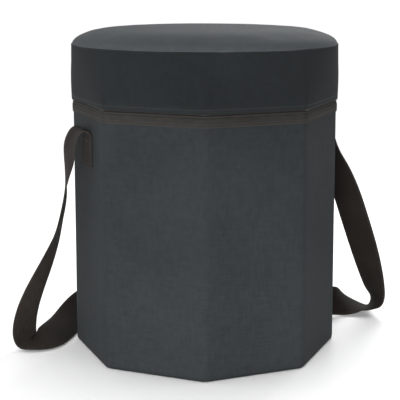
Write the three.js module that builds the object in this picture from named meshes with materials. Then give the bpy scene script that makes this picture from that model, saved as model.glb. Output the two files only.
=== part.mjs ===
// A folding cooler stool: eight insulated walls hinged edge to edge, a soft floor,
// a round padded lid on a cloth hinge, a zip round the mouth and a webbing carrying strap.
// Millimetres, +Z up. The origin is the middle of the underside, on the floor.
// The front wall faces -Y, the lid hinges on the back wall (+Y), the strap is sewn to the -X and +X walls.
import * as THREE from "three";

// Walls, named by where they stand, counted anticlockwise from +X
const WALL_NAMES = ["right", "back_right", "back", "back_left", "left", "front_left", "front", "front_right"];
const WALL_CORNER_RADIUS = 162; // axis to the outer corner between two wall covers
const WALL_HEIGHT = 291; // floor to the top of the wall covers
const COVER_THICKNESS = 1.2;
const BOARD_THICKNESS = 2.5;
const INSULATION_THICKNESS = 5;
const BOARD_LIFT = 2; // floor to the underside of the boards and the insulation
const LAYER_GAP = 0.3; // between pieces that touch
const CORNER_GAP = 0.4; // from a wall's mitred end to the corner plane, along the wall

// Zip strip round the mouth
const RIM_HEIGHT = 11.5;
const RIM_PROUD = 2.2; // how far the strip stands out from the wall covers

// Soft floor
const FLOOR_LIFT = 1.5; // floor to the underside of the base cover
const FLOOR_CLEARANCE = 0.8; // between the soft floor and the walls
const FLOOR_FOAM_THICKNESS = 6;
const LINING_THICKNESS = 0.8;

// Lid
const LID_GAP = 0.4; // between the mouth and the closed lid
const LID_OVERHANG = 0.6; // how far the lid's corners stand out past the zip strip
const LID_INSULATION_THICKNESS = 6;
const LID_BOARD_THICKNESS = 5;
const BAND_HEIGHT = 66; // side band of the seat, from its hem to the seam with the top
const BAND_THICKNESS = 1.4;
const FOAM_CLEARANCE = 0.9; // between the seat foam and its cloth
const SEAT_CROWN = 18; // seam of the top to the middle of the seat
const SHOULDER_POWER = 5; // how square the top is across
const CROWN_POWER = 2.2; // how square the top is upwards
const ROUND_STEPS = 48; // facets round the seat, a multiple of the number of walls
const BAND_RINGS = 4;
const CROWN_RINGS = 9;

// Zip on the lid
const COIL_HEIGHT = 2.4;
const COIL_DEPTH = 2.4;
const COIL_RECESS = 0.8; // how far the coil lies behind the face of the zip strip
const TAPE_THICKNESS = 0.9;
const FLAP_THICKNESS = 1;
const FLAP_SIDE_MARGIN = 12; // bare wall at each end of the cloth hinge

// Zip slider and its pull, parked at the corner between the back and the back left walls
const SLIDER_CLEARANCE = 0.5; // between the slider and the lid's corner
const SLIDER_LENGTH = 11;
const SLIDER_DEPTH = 4.2;
const SLIDER_HEIGHT = 7.5;
const SLIDER_ROUNDING = 1.6;
const PULL_LENGTH = 25;
const PULL_WIDTH = 6;
const PULL_THICKNESS = 1.5;
const PULL_EYE_RADIUS = 1.4;
const PULL_STAND_OFF = 0.4; // between the slider and the pull

// Carrying strap
const STRAP_WIDTH = 38;
const STRAP_THICKNESS = 2;
const STRAP_SEWN_LENGTH = 36;
const STRAP_SEWN_DROP = 24; // top of the wall covers down to the sewn ends
const STRAP_STEPS = 88;

// The strap's route from the left wall to the right wall, as points of its two edges:
// the edge nearer the front or the floor, then the edge nearer the back or the top.
// It arches off the left wall, drops to the floor, stands on edge round the back
// of the body, lies in a bend on the right and climbs to the right wall.
const STRAP_ROUTE = [
  [[-151.4, -19, 267.5], [-151.4, 19, 267.5]],
  [[-152.2, -19, 271.5], [-152.2, 19, 271.5]],
  [[-157.5, -18.5, 274.5], [-157.5, 19.5, 274.5]],
  [[-163.5, -16, 270], [-164.5, 22, 270]],
  [[-167.5, -9.5, 256], [-169.5, 28.5, 255]],
  [[-168.5, -2.5, 239], [-169.5, 35.5, 236]],
  [[-174, 5, 216], [-166.5, 41, 210]],
  [[-177.5, 13, 186], [-164.5, 46, 182]],
  [[-182, 22, 156], [-169.5, 55.5, 146]],
  [[-189.5, 28.5, 135], [-173, 61, 123]],
  [[-202.5, 39, 105], [-180, 67, 93]],
  [[-218, 46, 75], [-188.5, 70, 65]],
  [[-230, 48.6, 46], [-197, 69, 39]],
  [[-234.5, 47, 20], [-201.5, 64, 15]],
  [[-230, 41, 6.5], [-200, 60, 7]],
  [[-213, 31, 2.4], [-197, 61, 11]],
  [[-184, 31, 2.2], [-195, 62.5, 19]],
  [[-162.5, 52, 2], [-184.5, 74.5, 22]],
  [[-146.5, 73.5, 2.2], [-169, 95, 24]],
  [[-132.5, 96, 5], [-149.5, 112, 35]],
  [[-116, 117.5, 9], [-126, 127, 44.5]],
  [[-93, 136, 7], [-97, 139.5, 44.5]],
  [[-72, 146, 1.5], [-70.5, 149.5, 39]],
  [[-50, 155, 1.4], [-49, 156, 39]],
  [[0, 154, 1.4], [0, 154, 39.4]],
  [[50, 155, 1.4], [49, 156, 39]],
  [[72, 146, 1.4], [70.5, 149.5, 39]],
  [[110, 107.5, 1.4], [110, 107.5, 39.4]],
  [[149, 71, 1.4], [148, 73, 39]],
  [[158, 50, 1.4], [158, 52, 39]],
  [[165, 22, 1.4], [168, 30, 38.5]],
  [[193, 16, 3.5], [197, 25, 40.5]],
  [[211, 10, 4.5], [223, 41, 22.5]],
  [[228, 5, 6], [239.5, 40.5, 11]],
  [[241, -3.5, 11], [251.5, 32.5, 4]],
  [[253, -8, 22], [256, 29.5, 13]],
  [[253, -13, 49], [240, 23, 44]],
  [[242, -14, 96], [217, 15.5, 92]],
  [[226.5, -17, 139], [201.5, 12.5, 128]],
  [[211, -19, 176], [187, 11, 168]],
  [[193, -20, 209], [176.5, 13, 202]],
  [[177, -20.5, 232], [168.5, 15, 229]],
  [[169.5, -20, 252], [167, 17.5, 251]],
  [[165, -19.5, 266], [164.5, 18.5, 266]],
  [[159, -19, 274], [159, 19, 274]],
  [[152.2, -19, 271.5], [152.2, 19, 271.5]],
  [[151.4, -19, 267.5], [151.4, 19, 267.5]],
];

// Sizes that follow from those above
const WALLS = WALL_NAMES.length;
const BACK = WALL_NAMES.indexOf("back");
const WALL_TURN = (2 * Math.PI) / WALLS;
const HALF_TURN = WALL_TURN / 2;
const apothemOf = (cornerRadius) => cornerRadius * Math.cos(HALF_TURN);
const cornerOf = (apothem) => apothem / Math.cos(HALF_TURN);
const halfSideOf = (apothem) => apothem * Math.tan(HALF_TURN);

const COVER_APOTHEM = apothemOf(WALL_CORNER_RADIUS);
const BOARD_APOTHEM = COVER_APOTHEM - COVER_THICKNESS - LAYER_GAP;
const INSULATION_APOTHEM = BOARD_APOTHEM - BOARD_THICKNESS - LAYER_GAP;
const INNER_APOTHEM = INSULATION_APOTHEM - INSULATION_THICKNESS;
const RIM_APOTHEM = COVER_APOTHEM + RIM_PROUD;
const RIM_TOP = WALL_HEIGHT + RIM_HEIGHT;
const FLOOR_APOTHEM = INNER_APOTHEM - FLOOR_CLEARANCE;

const LID_LOW = RIM_TOP + LID_GAP;
const LID_INSULATION_LOW = LID_LOW + LINING_THICKNESS + LAYER_GAP;
const LID_BOARD_LOW = LID_INSULATION_LOW + LID_INSULATION_THICKNESS + LAYER_GAP;
const LID_BOARD_TOP = LID_BOARD_LOW + LID_BOARD_THICKNESS;
const LID_RADIUS = cornerOf(RIM_APOTHEM) + LID_OVERHANG;
const BAND_APOTHEM = apothemOf(LID_RADIUS);
const BAND_LOW = LID_LOW + COIL_HEIGHT + LAYER_GAP;
const SEAM_HEIGHT = BAND_LOW + BAND_HEIGHT;
const COIL_APOTHEM = RIM_APOTHEM - COIL_RECESS;
const TAPE_APOTHEM = COIL_APOTHEM - COIL_DEPTH - LAYER_GAP;
const LID_CORE_APOTHEM = TAPE_APOTHEM - TAPE_THICKNESS - LAYER_GAP;
const SLIDER_RADIUS = LID_RADIUS + SLIDER_CLEARANCE;
const SLIDER_ANGLE = BACK * WALL_TURN + HALF_TURN;
const STRAP_SEWN_TOP = WALL_HEIGHT - STRAP_SEWN_DROP;

// Finishes
function finish(color, roughness, metalness = 0) {
  return new THREE.MeshStandardMaterial({ color, roughness, metalness });
}
const charcoalCloth = () => finish(0x3a3f42, 0.85);
const bandCloth = () => finish(0x32373a, 0.85);
const seatCloth = () => finish(0x4a4f53, 0.7);
const zipCloth = () => finish(0x413c39, 0.85);
const webbing = () => finish(0x2e2926, 0.8);
const wallBoard = () => finish(0x8a8272, 0.9);
const foilFoam = () => finish(0xb9bcc0, 0.35, 0.7);
const paleFoam = () => finish(0xd8d4c8, 0.95);
const blackNylon = () => finish(0x1c1b1b, 0.5);
const darkMetal = () => finish(0x3b3b3d, 0.4, 0.9);

const stool = new THREE.Group();

function addPiece(name, geometry, material, parent = stool) {
  const piece = new THREE.Mesh(geometry, material);
  piece.name = name;
  parent.add(piece);
  return piece;
}

// A flat outline, raised from one height to another
function raised(shape, low, high) {
  const geometry = new THREE.ExtrudeGeometry(shape, { depth: high - low, bevelEnabled: false });
  return geometry.translate(0, 0, low);
}

// One layer of a wall that faces +X, with ends cut to the corner planes
function mitredSlab(outer, thickness, low, high) {
  const inner = outer - thickness;
  const outerHalf = halfSideOf(outer) - CORNER_GAP;
  const innerHalf = halfSideOf(inner) - CORNER_GAP;
  const outline = new THREE.Shape();
  outline.moveTo(inner, -innerHalf);
  outline.lineTo(outer, -outerHalf);
  outline.lineTo(outer, outerHalf);
  outline.lineTo(inner, innerHalf);
  return raised(outline, low, high);
}

function cornerPoints(apothem, first, last) {
  const radius = cornerOf(apothem);
  const points = [];
  for (let corner = first; corner <= last; corner += 1) {
    const angle = HALF_TURN + corner * WALL_TURN;
    points.push(new THREE.Vector2(radius * Math.cos(angle), radius * Math.sin(angle)));
  }
  return points;
}

// A full plate with the outline of the walls
function wallPlate(apothem, low, high) {
  return raised(new THREE.Shape(cornerPoints(apothem, 0, WALLS - 1)), low, high);
}

// A strip that runs round every wall but the back one
function openHoop(outer, thickness, low, high) {
  const lastCorner = BACK + WALLS - 1;
  const outside = cornerPoints(outer, BACK, lastCorner);
  const inside = cornerPoints(outer - thickness, BACK, lastCorner);
  return raised(new THREE.Shape([...outside, ...inside.reverse()]), low, high);
}

function roundedPlate(width, height, thickness, rounding) {
  const x = width / 2 - rounding;
  const y = height / 2 - rounding;
  const outline = new THREE.Shape();
  outline.absarc(x, y, rounding, 0, Math.PI / 2);
  outline.absarc(-x, y, rounding, Math.PI / 2, Math.PI);
  outline.absarc(-x, -y, rounding, Math.PI, 1.5 * Math.PI);
  outline.absarc(x, -y, rounding, 1.5 * Math.PI, 2 * Math.PI);
  return new THREE.ExtrudeGeometry(outline, { depth: thickness, bevelEnabled: false, curveSegments: 3 });
}

// A closed skin through rings of equally many points, listed upwards on the outside.
// A tunnel joins its last ring to its first; a solid closes both end rings.
function ringSkin(rings, isTunnel) {
  const count = rings[0].length;
  const points = rings.flat();
  const faces = [];
  const joins = isTunnel ? rings.length : rings.length - 1;
  for (let ring = 0; ring < joins; ring += 1) {
    const low = ring * count;
    const high = ((ring + 1) % rings.length) * count;
    for (let i = 0; i < count; i += 1) {
      const next = (i + 1) % count;
      faces.push(low + i, low + next, high + next, low + i, high + next, high + i);
    }
  }
  if (!isTunnel) {
    const top = (rings.length - 1) * count;
    for (let i = 1; i < count - 1; i += 1) {
      faces.push(0, i + 1, i, top, top + i, top + i + 1);
    }
  }
  const geometry = new THREE.BufferGeometry().setFromPoints(points);
  geometry.setIndex(faces);
  geometry.computeVertexNormals();
  return geometry;
}

// The seat's outline at a height: the walls' outline at the hem, a circle at the seam
function seatRing(height, inset) {
  const round = (height - BAND_LOW) / BAND_HEIGHT;
  const ring = [];
  for (let step = 0; step < ROUND_STEPS; step += 1) {
    const angle = (step / ROUND_STEPS) * 2 * Math.PI;
    const fromWall = angle - Math.round(angle / WALL_TURN) * WALL_TURN;
    const straight = (BAND_APOTHEM - inset) / Math.cos(fromWall);
    const radius = THREE.MathUtils.lerp(straight, LID_RADIUS - inset, round);
    ring.push(new THREE.Vector3(radius * Math.cos(angle), radius * Math.sin(angle), height));
  }
  return ring;
}

// The crown over the seam, from the rim (0) to the middle (1): distance from the axis and height
function crownPoint(share, inset) {
  const sweep = (share * Math.PI) / 2;
  const across = (LID_RADIUS - inset) * Math.cos(sweep) ** (2 / SHOULDER_POWER);
  const up = (SEAT_CROWN - inset) * Math.sin(sweep) ** (2 / CROWN_POWER);
  return new THREE.Vector2(share === 1 ? 0 : across, SEAM_HEIGHT + up);
}

function crownProfile(inset) {
  return Array.from({ length: CROWN_RINGS + 1 }, (_, ring) => crownPoint(ring / CROWN_RINGS, inset));
}

function heightsBetween(low, high, count) {
  return Array.from({ length: count + 1 }, (_, ring) => low + ((high - low) * ring) / count);
}

function addWalls() {
  WALL_NAMES.forEach((name, index) => {
    const wall = new THREE.Group();
    wall.rotation.z = index * WALL_TURN;
    stool.add(wall);
    const cover = mitredSlab(COVER_APOTHEM, COVER_THICKNESS, 0, WALL_HEIGHT);
    const board = mitredSlab(BOARD_APOTHEM, BOARD_THICKNESS, BOARD_LIFT, RIM_TOP);
    const insulation = mitredSlab(INSULATION_APOTHEM, INSULATION_THICKNESS, BOARD_LIFT, RIM_TOP);
    const rim = mitredSlab(RIM_APOTHEM, RIM_PROUD + COVER_THICKNESS, WALL_HEIGHT + LAYER_GAP, RIM_TOP);
    addPiece(`${name}_cover`, cover, charcoalCloth(), wall);
    addPiece(`${name}_board`, board, wallBoard(), wall);
    addPiece(`${name}_insulation`, insulation, foilFoam(), wall);
    addPiece(`${name}_zip_strip`, rim, zipCloth(), wall);
  });
}

function addFloor() {
  const foamLow = FLOOR_LIFT + COVER_THICKNESS + LAYER_GAP;
  const liningLow = foamLow + FLOOR_FOAM_THICKNESS + LAYER_GAP;
  const cover = wallPlate(FLOOR_APOTHEM, FLOOR_LIFT, FLOOR_LIFT + COVER_THICKNESS);
  const foam = wallPlate(FLOOR_APOTHEM, foamLow, foamLow + FLOOR_FOAM_THICKNESS);
  const lining = wallPlate(FLOOR_APOTHEM, liningLow, liningLow + LINING_THICKNESS);
  addPiece("base_cover", cover, charcoalCloth());
  addPiece("base_foam", foam, paleFoam());
  addPiece("base_lining", lining, foilFoam());
}

// The lid's flat layers, from the lining up
function addLidCore() {
  const insulationTop = LID_INSULATION_LOW + LID_INSULATION_THICKNESS;
  const lining = wallPlate(LID_CORE_APOTHEM, LID_LOW, LID_LOW + LINING_THICKNESS);
  const insulation = wallPlate(LID_CORE_APOTHEM, LID_INSULATION_LOW, insulationTop);
  const board = wallPlate(LID_CORE_APOTHEM, LID_BOARD_LOW, LID_BOARD_TOP);
  addPiece("lid_lining", lining, foilFoam());
  addPiece("lid_insulation", insulation, paleFoam());
  addPiece("lid_board", board, wallBoard());
}

function addSeat() {
  const bandTop = SEAM_HEIGHT - LAYER_GAP;
  const bandHeights = heightsBetween(BAND_LOW, bandTop, BAND_RINGS);
  const outside = bandHeights.map((height) => seatRing(height, 0));
  const inside = bandHeights.map((height) => seatRing(height, BAND_THICKNESS));
  addPiece("seat_band", ringSkin([...outside, ...inside.reverse()], true), bandCloth());

  const underside = crownProfile(BAND_THICKNESS).reverse();
  const top = new THREE.LatheGeometry([...underside, ...crownProfile(0)], ROUND_STEPS);
  addPiece("seat_top", top.rotateX(Math.PI / 2), seatCloth());

  const foamInset = BAND_THICKNESS + FOAM_CLEARANCE;
  const foamHeights = heightsBetween(LID_BOARD_TOP + LAYER_GAP, SEAM_HEIGHT, BAND_RINGS);
  const sides = foamHeights.map((height) => seatRing(height, foamInset));
  const crown = crownProfile(foamInset)
    .slice(1, -1)
    .map((point) => sides[0].map((side) => {
      const angle = Math.atan2(side.y, side.x);
      return new THREE.Vector3(point.x * Math.cos(angle), point.x * Math.sin(angle), point.y);
    }));
  addPiece("seat_foam", ringSkin([...sides, ...crown], false), paleFoam());
}

function addLidZip() {
  const coil = openHoop(COIL_APOTHEM, COIL_DEPTH, LID_LOW, LID_LOW + COIL_HEIGHT);
  const tape = openHoop(TAPE_APOTHEM, TAPE_THICKNESS, LID_LOW, LID_BOARD_TOP);
  addPiece("zip_coil", coil, blackNylon());
  addPiece("lid_zip_tape", tape, zipCloth());

  const flapWidth = 2 * (halfSideOf(COIL_APOTHEM - COIL_DEPTH) - FLAP_SIDE_MARGIN);
  const flap = new THREE.BoxGeometry(flapWidth, FLAP_THICKNESS, LID_BOARD_TOP - LID_LOW);
  const flapOut = COIL_APOTHEM - COIL_DEPTH / 2;
  addPiece("lid_hinge_flap", flap, bandCloth()).position.set(0, flapOut, (LID_LOW + LID_BOARD_TOP) / 2);
}

// The slider stands on the corner beside the cloth hinge; its pull lies along the back left wall
function addSlider() {
  const corner = new THREE.Group();
  corner.rotation.z = SLIDER_ANGLE;
  stool.add(corner);
  const sliderMiddle = LID_LOW + SLIDER_HEIGHT / 2;
  const slider = roundedPlate(SLIDER_LENGTH, SLIDER_HEIGHT, SLIDER_DEPTH, SLIDER_ROUNDING);
  slider.rotateX(Math.PI / 2).rotateZ(Math.PI / 2);
  slider.translate(SLIDER_RADIUS, 0, sliderMiddle);
  addPiece("zip_slider", slider, darkMetal(), corner);

  const outline = new THREE.Shape();
  const end = PULL_WIDTH / 2;
  outline.absarc(0, 0, end, Math.PI / 2, 1.5 * Math.PI);
  outline.absarc(PULL_LENGTH - 2 * end, 0, end, 1.5 * Math.PI, 2.5 * Math.PI);
  outline.holes.push(new THREE.Path().absarc(0, 0, PULL_EYE_RADIUS, 0, 2 * Math.PI, true));
  const solid = { depth: PULL_THICKNESS, bevelEnabled: false, curveSegments: 6 };
  const pull = new THREE.ExtrudeGeometry(outline, solid);
  pull.rotateX(Math.PI / 2).rotateZ(Math.PI / 2);
  const pivot = new THREE.Group();
  const pivotOut = SLIDER_RADIUS + SLIDER_DEPTH + PULL_STAND_OFF;
  pivot.position.set(pivotOut, SLIDER_LENGTH / 2, sliderMiddle);
  pivot.rotation.z = HALF_TURN;
  corner.add(pivot);
  addPiece("zip_pull", pull, darkMetal(), pivot);
}

function addStrap() {
  const sewnMiddle = STRAP_SEWN_TOP - STRAP_SEWN_LENGTH / 2;
  for (const name of ["left", "right"]) {
    const wall = new THREE.Group();
    wall.rotation.z = WALL_NAMES.indexOf(name) * WALL_TURN;
    stool.add(wall);
    const sewn = new THREE.BoxGeometry(STRAP_THICKNESS, STRAP_WIDTH, STRAP_SEWN_LENGTH);
    const out = COVER_APOTHEM + LAYER_GAP + STRAP_THICKNESS / 2;
    addPiece(`strap_sewn_end_${name}`, sewn, webbing(), wall).position.set(out, 0, sewnMiddle);
  }

  const edge = (side) => new THREE.CatmullRomCurve3(
    STRAP_ROUTE.map((pair) => new THREE.Vector3(...pair[side])),
    false,
    "centripetal",
  );
  const nearEdge = edge(0);
  const farEdge = edge(1);
  const middleAt = (share) => nearEdge.getPoint(share).add(farEdge.getPoint(share)).divideScalar(2);
  const rings = [];
  const nudge = 0.001;
  for (let step = 0; step <= STRAP_STEPS; step += 1) {
    const share = step / STRAP_STEPS;
    const middle = middleAt(share);
    const before = middleAt(Math.max(share - nudge, 0));
    const along = middleAt(Math.min(share + nudge, 1)).sub(before).normalize();
    const across = farEdge.getPoint(share).sub(nearEdge.getPoint(share));
    across.addScaledVector(along, -across.dot(along)).setLength(STRAP_WIDTH / 2);
    const out = new THREE.Vector3().crossVectors(along, across).setLength(STRAP_THICKNESS / 2);
    const at = (a, b) => middle.clone().addScaledVector(across, a).addScaledVector(out, b);
    rings.push([at(-1, -1), at(1, -1), at(1, 1), at(-1, 1)]);
  }
  addPiece("strap", ringSkin(rings, false), webbing());
}

addWalls();
addFloor();
addLidCore();
addSeat();
addLidZip();
addSlider();
addStrap();

export default stool;
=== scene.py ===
"""A folding cooler stool, dressed in cloth, webbing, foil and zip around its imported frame.

Metres, +Z up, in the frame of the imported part: the front wall faces -Y, the lid hinges on the
back wall (+Y), and the carrying strap is sewn to the walls that face -X and +X.
"""
import logging
import math
from abc import ABC, abstractmethod
from collections.abc import Callable, Sequence
from dataclasses import dataclass
from enum import Enum
from typing import Protocol

import bmesh
import bpy
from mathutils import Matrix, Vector, noise


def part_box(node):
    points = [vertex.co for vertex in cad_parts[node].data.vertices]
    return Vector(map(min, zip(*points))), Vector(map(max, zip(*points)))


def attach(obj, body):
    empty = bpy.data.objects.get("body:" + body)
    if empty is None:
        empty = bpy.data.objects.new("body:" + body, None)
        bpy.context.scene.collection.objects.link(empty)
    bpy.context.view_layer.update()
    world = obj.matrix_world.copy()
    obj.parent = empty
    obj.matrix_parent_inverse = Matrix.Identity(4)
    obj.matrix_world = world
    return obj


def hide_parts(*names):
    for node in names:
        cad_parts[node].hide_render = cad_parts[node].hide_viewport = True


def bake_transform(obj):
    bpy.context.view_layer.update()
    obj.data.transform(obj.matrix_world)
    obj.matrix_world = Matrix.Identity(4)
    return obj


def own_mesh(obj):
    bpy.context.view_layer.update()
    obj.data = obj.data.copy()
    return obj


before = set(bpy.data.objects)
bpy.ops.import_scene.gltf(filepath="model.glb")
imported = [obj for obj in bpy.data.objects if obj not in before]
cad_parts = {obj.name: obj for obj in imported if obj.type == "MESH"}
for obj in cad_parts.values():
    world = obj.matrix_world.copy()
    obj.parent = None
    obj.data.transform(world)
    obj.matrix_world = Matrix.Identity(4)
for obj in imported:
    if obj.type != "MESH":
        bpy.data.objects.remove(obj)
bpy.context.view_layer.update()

log = logging.getLogger("cooler_stool")

Colour = tuple[float, float, float]
Pair = tuple[float, float]
Triple = tuple[float, float, float]
Hole = tuple[Vector, Vector]
Rows = list[list[Vector]]
Rings = Sequence[Sequence[int]]
Relief = Callable[[Vector], float]
Finish = bpy.types.Material
Piece = bpy.types.Object
Socket = bpy.types.NodeSocket

MM = 0.001
TINY = 1e-9
UP = Vector((0.0, 0.0, 1.0))
WALLS = 8
WALL_TURN = math.tau / WALLS
HALF_TAN = math.tan(WALL_TURN / 2)
HALF_COS = math.cos(WALL_TURN / 2)
WEAVE_MAP = "weave"
# Name of the per-point mask that pales the cloth: real scuffing at folds, seams and edges, and painted light
# (bounce from the floor on the walls, a lit stretch of the strap's left leg).
WEAR_AND_PAINTED_LIGHT = "wear_and_painted_light"
THREAD_SLOT = 1
THREAD_RISE = 0.42  # how far a stitch stands up, in widths of its thread


class Wall(Enum):
    """The eight walls, counted anticlockwise from +X."""

    RIGHT = 0
    BACK_RIGHT = 1
    BACK = 2
    BACK_LEFT = 3
    LEFT = 4
    FRONT_LEFT = 5
    FRONT = 6
    FRONT_RIGHT = 7

    @property
    def body(self) -> str:
        """The name of the body that this wall belongs to."""
        return self.name.lower()

    @property
    def following(self) -> "Wall":
        """The next wall, anticlockwise."""
        return Wall((self.value + 1) % WALLS)

    @property
    def facing(self) -> Vector:
        """The wall's outward direction."""
        return level_direction(self.value * WALL_TURN)


class Hold(Enum):
    """How a sheet of cloth is held."""

    STRETCHED = "stretched"
    HUNG = "hung"
    LAID = "laid"


def level_direction(angle: float) -> Vector:
    """A level unit vector.

    Args:
        angle: Turn from +X, in radians.
    Returns:
        The direction.
    """
    return Vector((math.cos(angle), math.sin(angle), 0.0))


def mix(low: float, high: float, share: float) -> float:
    """The value at a share of the way from low to high."""
    return low + (high - low) * share


def smooth(share: float) -> float:
    """An eased share, flat at 0 and at 1, held between them."""
    held = min(max(share, 0.0), 1.0)
    return held * held * (3.0 - 2.0 * held)


def spread(low: float, high: float, steps: int) -> list[float]:
    """Evenly spaced values, both ends among them."""
    return [mix(low, high, step / steps) for step in range(steps + 1)]


def arc(radii: Pair, first: float, last: float, steps: int, centre: float = 0.0) -> list[Pair]:
    """Points along an arc.

    Args:
        radii: Its radii, along and up.
        first: The angle of its first point.
        last: The angle of its last point.
        steps: Steps from the first point to the last.
        centre: How far along its middle lies.
    Returns:
        The points, along and up.
    """
    turns = spread(first, last, steps)
    return [(centre + radii[0] * math.cos(turn), radii[1] * math.sin(turn)) for turn in turns]


def outward(place: Vector) -> Vector:
    """The level direction from the axis to a place."""
    return Vector((place.x, place.y, 0.0)).normalized()


def drawn_in(row: Sequence[Vector], by: float, lift: float) -> list[Vector]:
    """A copy of a ring of points, drawn in towards the axis and lifted."""
    return [place - outward(place) * by + UP * lift for place in row]


def hang(name: str, data: bpy.types.ID) -> Piece:
    """Makes an object of a mesh, a light or a camera, and adds it to the scene."""
    made = bpy.data.objects.new(name, data)
    bpy.context.scene.collection.objects.link(made)
    return made


def smoothed(name: str, mesh: bpy.types.Mesh, sharp: float) -> Piece:
    """Adds a finished mesh to the scene, smooth between its sharp edges.

    Args:
        name: The piece's name.
        mesh: Its mesh.
        sharp: The angle in degrees above which an edge stays sharp.
    Returns:
        The piece.
    """
    mesh.polygons.foreach_set("use_smooth", [True] * len(mesh.polygons))
    mesh.set_sharp_from_angle(angle=math.radians(sharp))
    log.info("built %s: %d points", name, len(mesh.vertices))
    return hang(name, mesh)


@dataclass(frozen=True)
class StoolSizes:
    """The stool's main sizes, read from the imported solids."""

    cover: float
    wall_top: float
    strip: float
    strip_top: float
    inner: float
    floor: float
    lid_low: float
    lid_core: float
    tape: float
    coil: float
    core_top: float
    hem: float
    seam: float
    seat_top: float
    lid_radius: float

    @classmethod
    def from_frame(cls) -> "StoolSizes":
        """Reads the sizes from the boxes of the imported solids.

        Returns:
            The sizes. A wall's size is its distance from the axis, squarely across.
        """
        return cls(
            cover=-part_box("front_cover")[0].y,
            wall_top=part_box("front_cover")[1].z,
            strip=-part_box("front_zip_strip")[0].y,
            strip_top=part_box("front_zip_strip")[1].z,
            inner=-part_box("front_insulation")[1].y,
            floor=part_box("base_foam")[1].x,
            lid_low=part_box("lid_lining")[0].z,
            lid_core=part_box("lid_board")[1].x,
            tape=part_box("lid_zip_tape")[1].x,
            coil=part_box("zip_coil")[1].x,
            core_top=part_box("lid_board")[1].z,
            hem=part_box("seat_band")[0].z,
            seam=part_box("seat_top")[0].z,
            seat_top=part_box("seat_top")[1].z,
            lid_radius=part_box("seat_top")[1].x,
        )


class Sketch:
    """Points, faces and weave coordinates of a mesh in the making."""

    def __init__(self) -> None:
        """Starts with nothing."""
        self.points: list[Vector] = []
        self.weave: list[Pair] = []
        self.wear_and_painted_light: list[float] = []
        self.faces: list[tuple[int, ...]] = []
        self.slots: list[int] = []

    def point(self, place: Vector, weave: Pair = (0.0, 0.0), wear_and_painted_light: float = 0.0) -> int:
        """Adds a point.

        Args:
            place: Where it is.
            weave: Its place on the cloth, in metres across and along.
            wear_and_painted_light: How far the cloth is painted paler there, for real scuffing and for
                painted light: 0 is its own colour, 1 and above is pale.
        Returns:
            The point's number.
        """
        self.points.append(place)
        self.weave.append(weave)
        self.wear_and_painted_light.append(wear_and_painted_light)
        return len(self.points) - 1

    def face(self, corners: Sequence[int], slot: int = 0) -> None:
        """Adds a face with the finish of that slot."""
        self.faces.append(tuple(corners))
        self.slots.append(slot)

    def skin(self, rows: Rings, round_rows: bool = False, round_columns: bool = False) -> None:
        """Joins rows of points with four-sided faces.

        Args:
            rows: Rows of equally many point numbers.
            round_rows: Whether the last row joins the first.
            round_columns: Whether each row's last point joins its first.
        """
        count = len(rows[0])
        for i in range(len(rows) if round_rows else len(rows) - 1):
            low, high = rows[i], rows[(i + 1) % len(rows)]
            for j in range(count if round_columns else count - 1):
                k = (j + 1) % count
                self.face((low[j], low[k], high[k], high[j]))

    def tube(self, rings: Rings) -> None:
        """Joins rings of points to a tube, and closes both its ends."""
        self.skin(rings, round_columns=True)
        self.face(rings[0])
        self.face(rings[-1][::-1])

    def fan(self, centre: Vector, ring: Sequence[int]) -> None:
        """Closes a ring of points with faces that meet in its middle."""
        middle = self.point(centre, (centre.x, centre.y))
        for j in range(len(ring)):
            self.face((middle, ring[j], ring[(j + 1) % len(ring)]))

    def stitch(self, start: Vector, end: Vector, out: Vector, width: float) -> None:
        """Adds one raised stitch of thread.

        Args:
            start: Where the thread comes up.
            end: Where it goes down.
            out: The cloth's outward direction there.
            width: The thread's width.
        """
        middle = (start + end) / 2
        side = (end - start).cross(out).normalized() * (width / 2)
        lift = out * (width * THREAD_RISE)
        ends = [self.point(start), self.point(end)]
        loop = [self.point(middle + way) for way in (side, lift, -side, -lift)]
        for j in range(len(loop)):
            k = (j + 1) % len(loop)
            self.face((ends[0], loop[k], loop[j]), THREAD_SLOT)
            self.face((ends[1], loop[j], loop[k]), THREAD_SLOT)

    def stitches(self, holes: Sequence[Hole], width: float, share: float = 0.68) -> None:
        """Adds a row of stitches along a line of holes.

        Args:
            holes: Points on the cloth, each with the outward direction there.
            width: The thread's width.
            share: How much of the way to the next hole a stitch shows.
        """
        for (start, out), (after, _) in zip(holes, holes[1:]):
            self.stitch(start, start.lerp(after, share), out, width)

    def build(self, name: str, finishes: Sequence[Finish], sharp: float = 42.0) -> Piece:
        """Makes the mesh object.

        Args:
            name: The piece's name.
            finishes: Its materials, in the order of the slots.
            sharp: The angle in degrees above which an edge stays sharp.
        Returns:
            The object, linked to the scene.
        """
        mesh = bpy.data.meshes.new(name)
        mesh.from_pydata([tuple(place) for place in self.points], [], self.faces)
        for finish in finishes:
            mesh.materials.append(finish)
        mesh.polygons.foreach_set("material_index", self.slots)
        layer = mesh.uv_layers.new(name=WEAVE_MAP)
        for loop in mesh.loops:
            layer.data[loop.index].uv = self.weave[loop.vertex_index]
        mesh.attributes.new(WEAR_AND_PAINTED_LIGHT, "FLOAT", "POINT").data.foreach_set("value", self.wear_and_painted_light)
        work = bmesh.new()
        work.from_mesh(mesh)
        bmesh.ops.recalc_face_normals(work, faces=work.faces)
        work.to_mesh(mesh)
        work.free()
        return smoothed(name, mesh, sharp)


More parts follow.
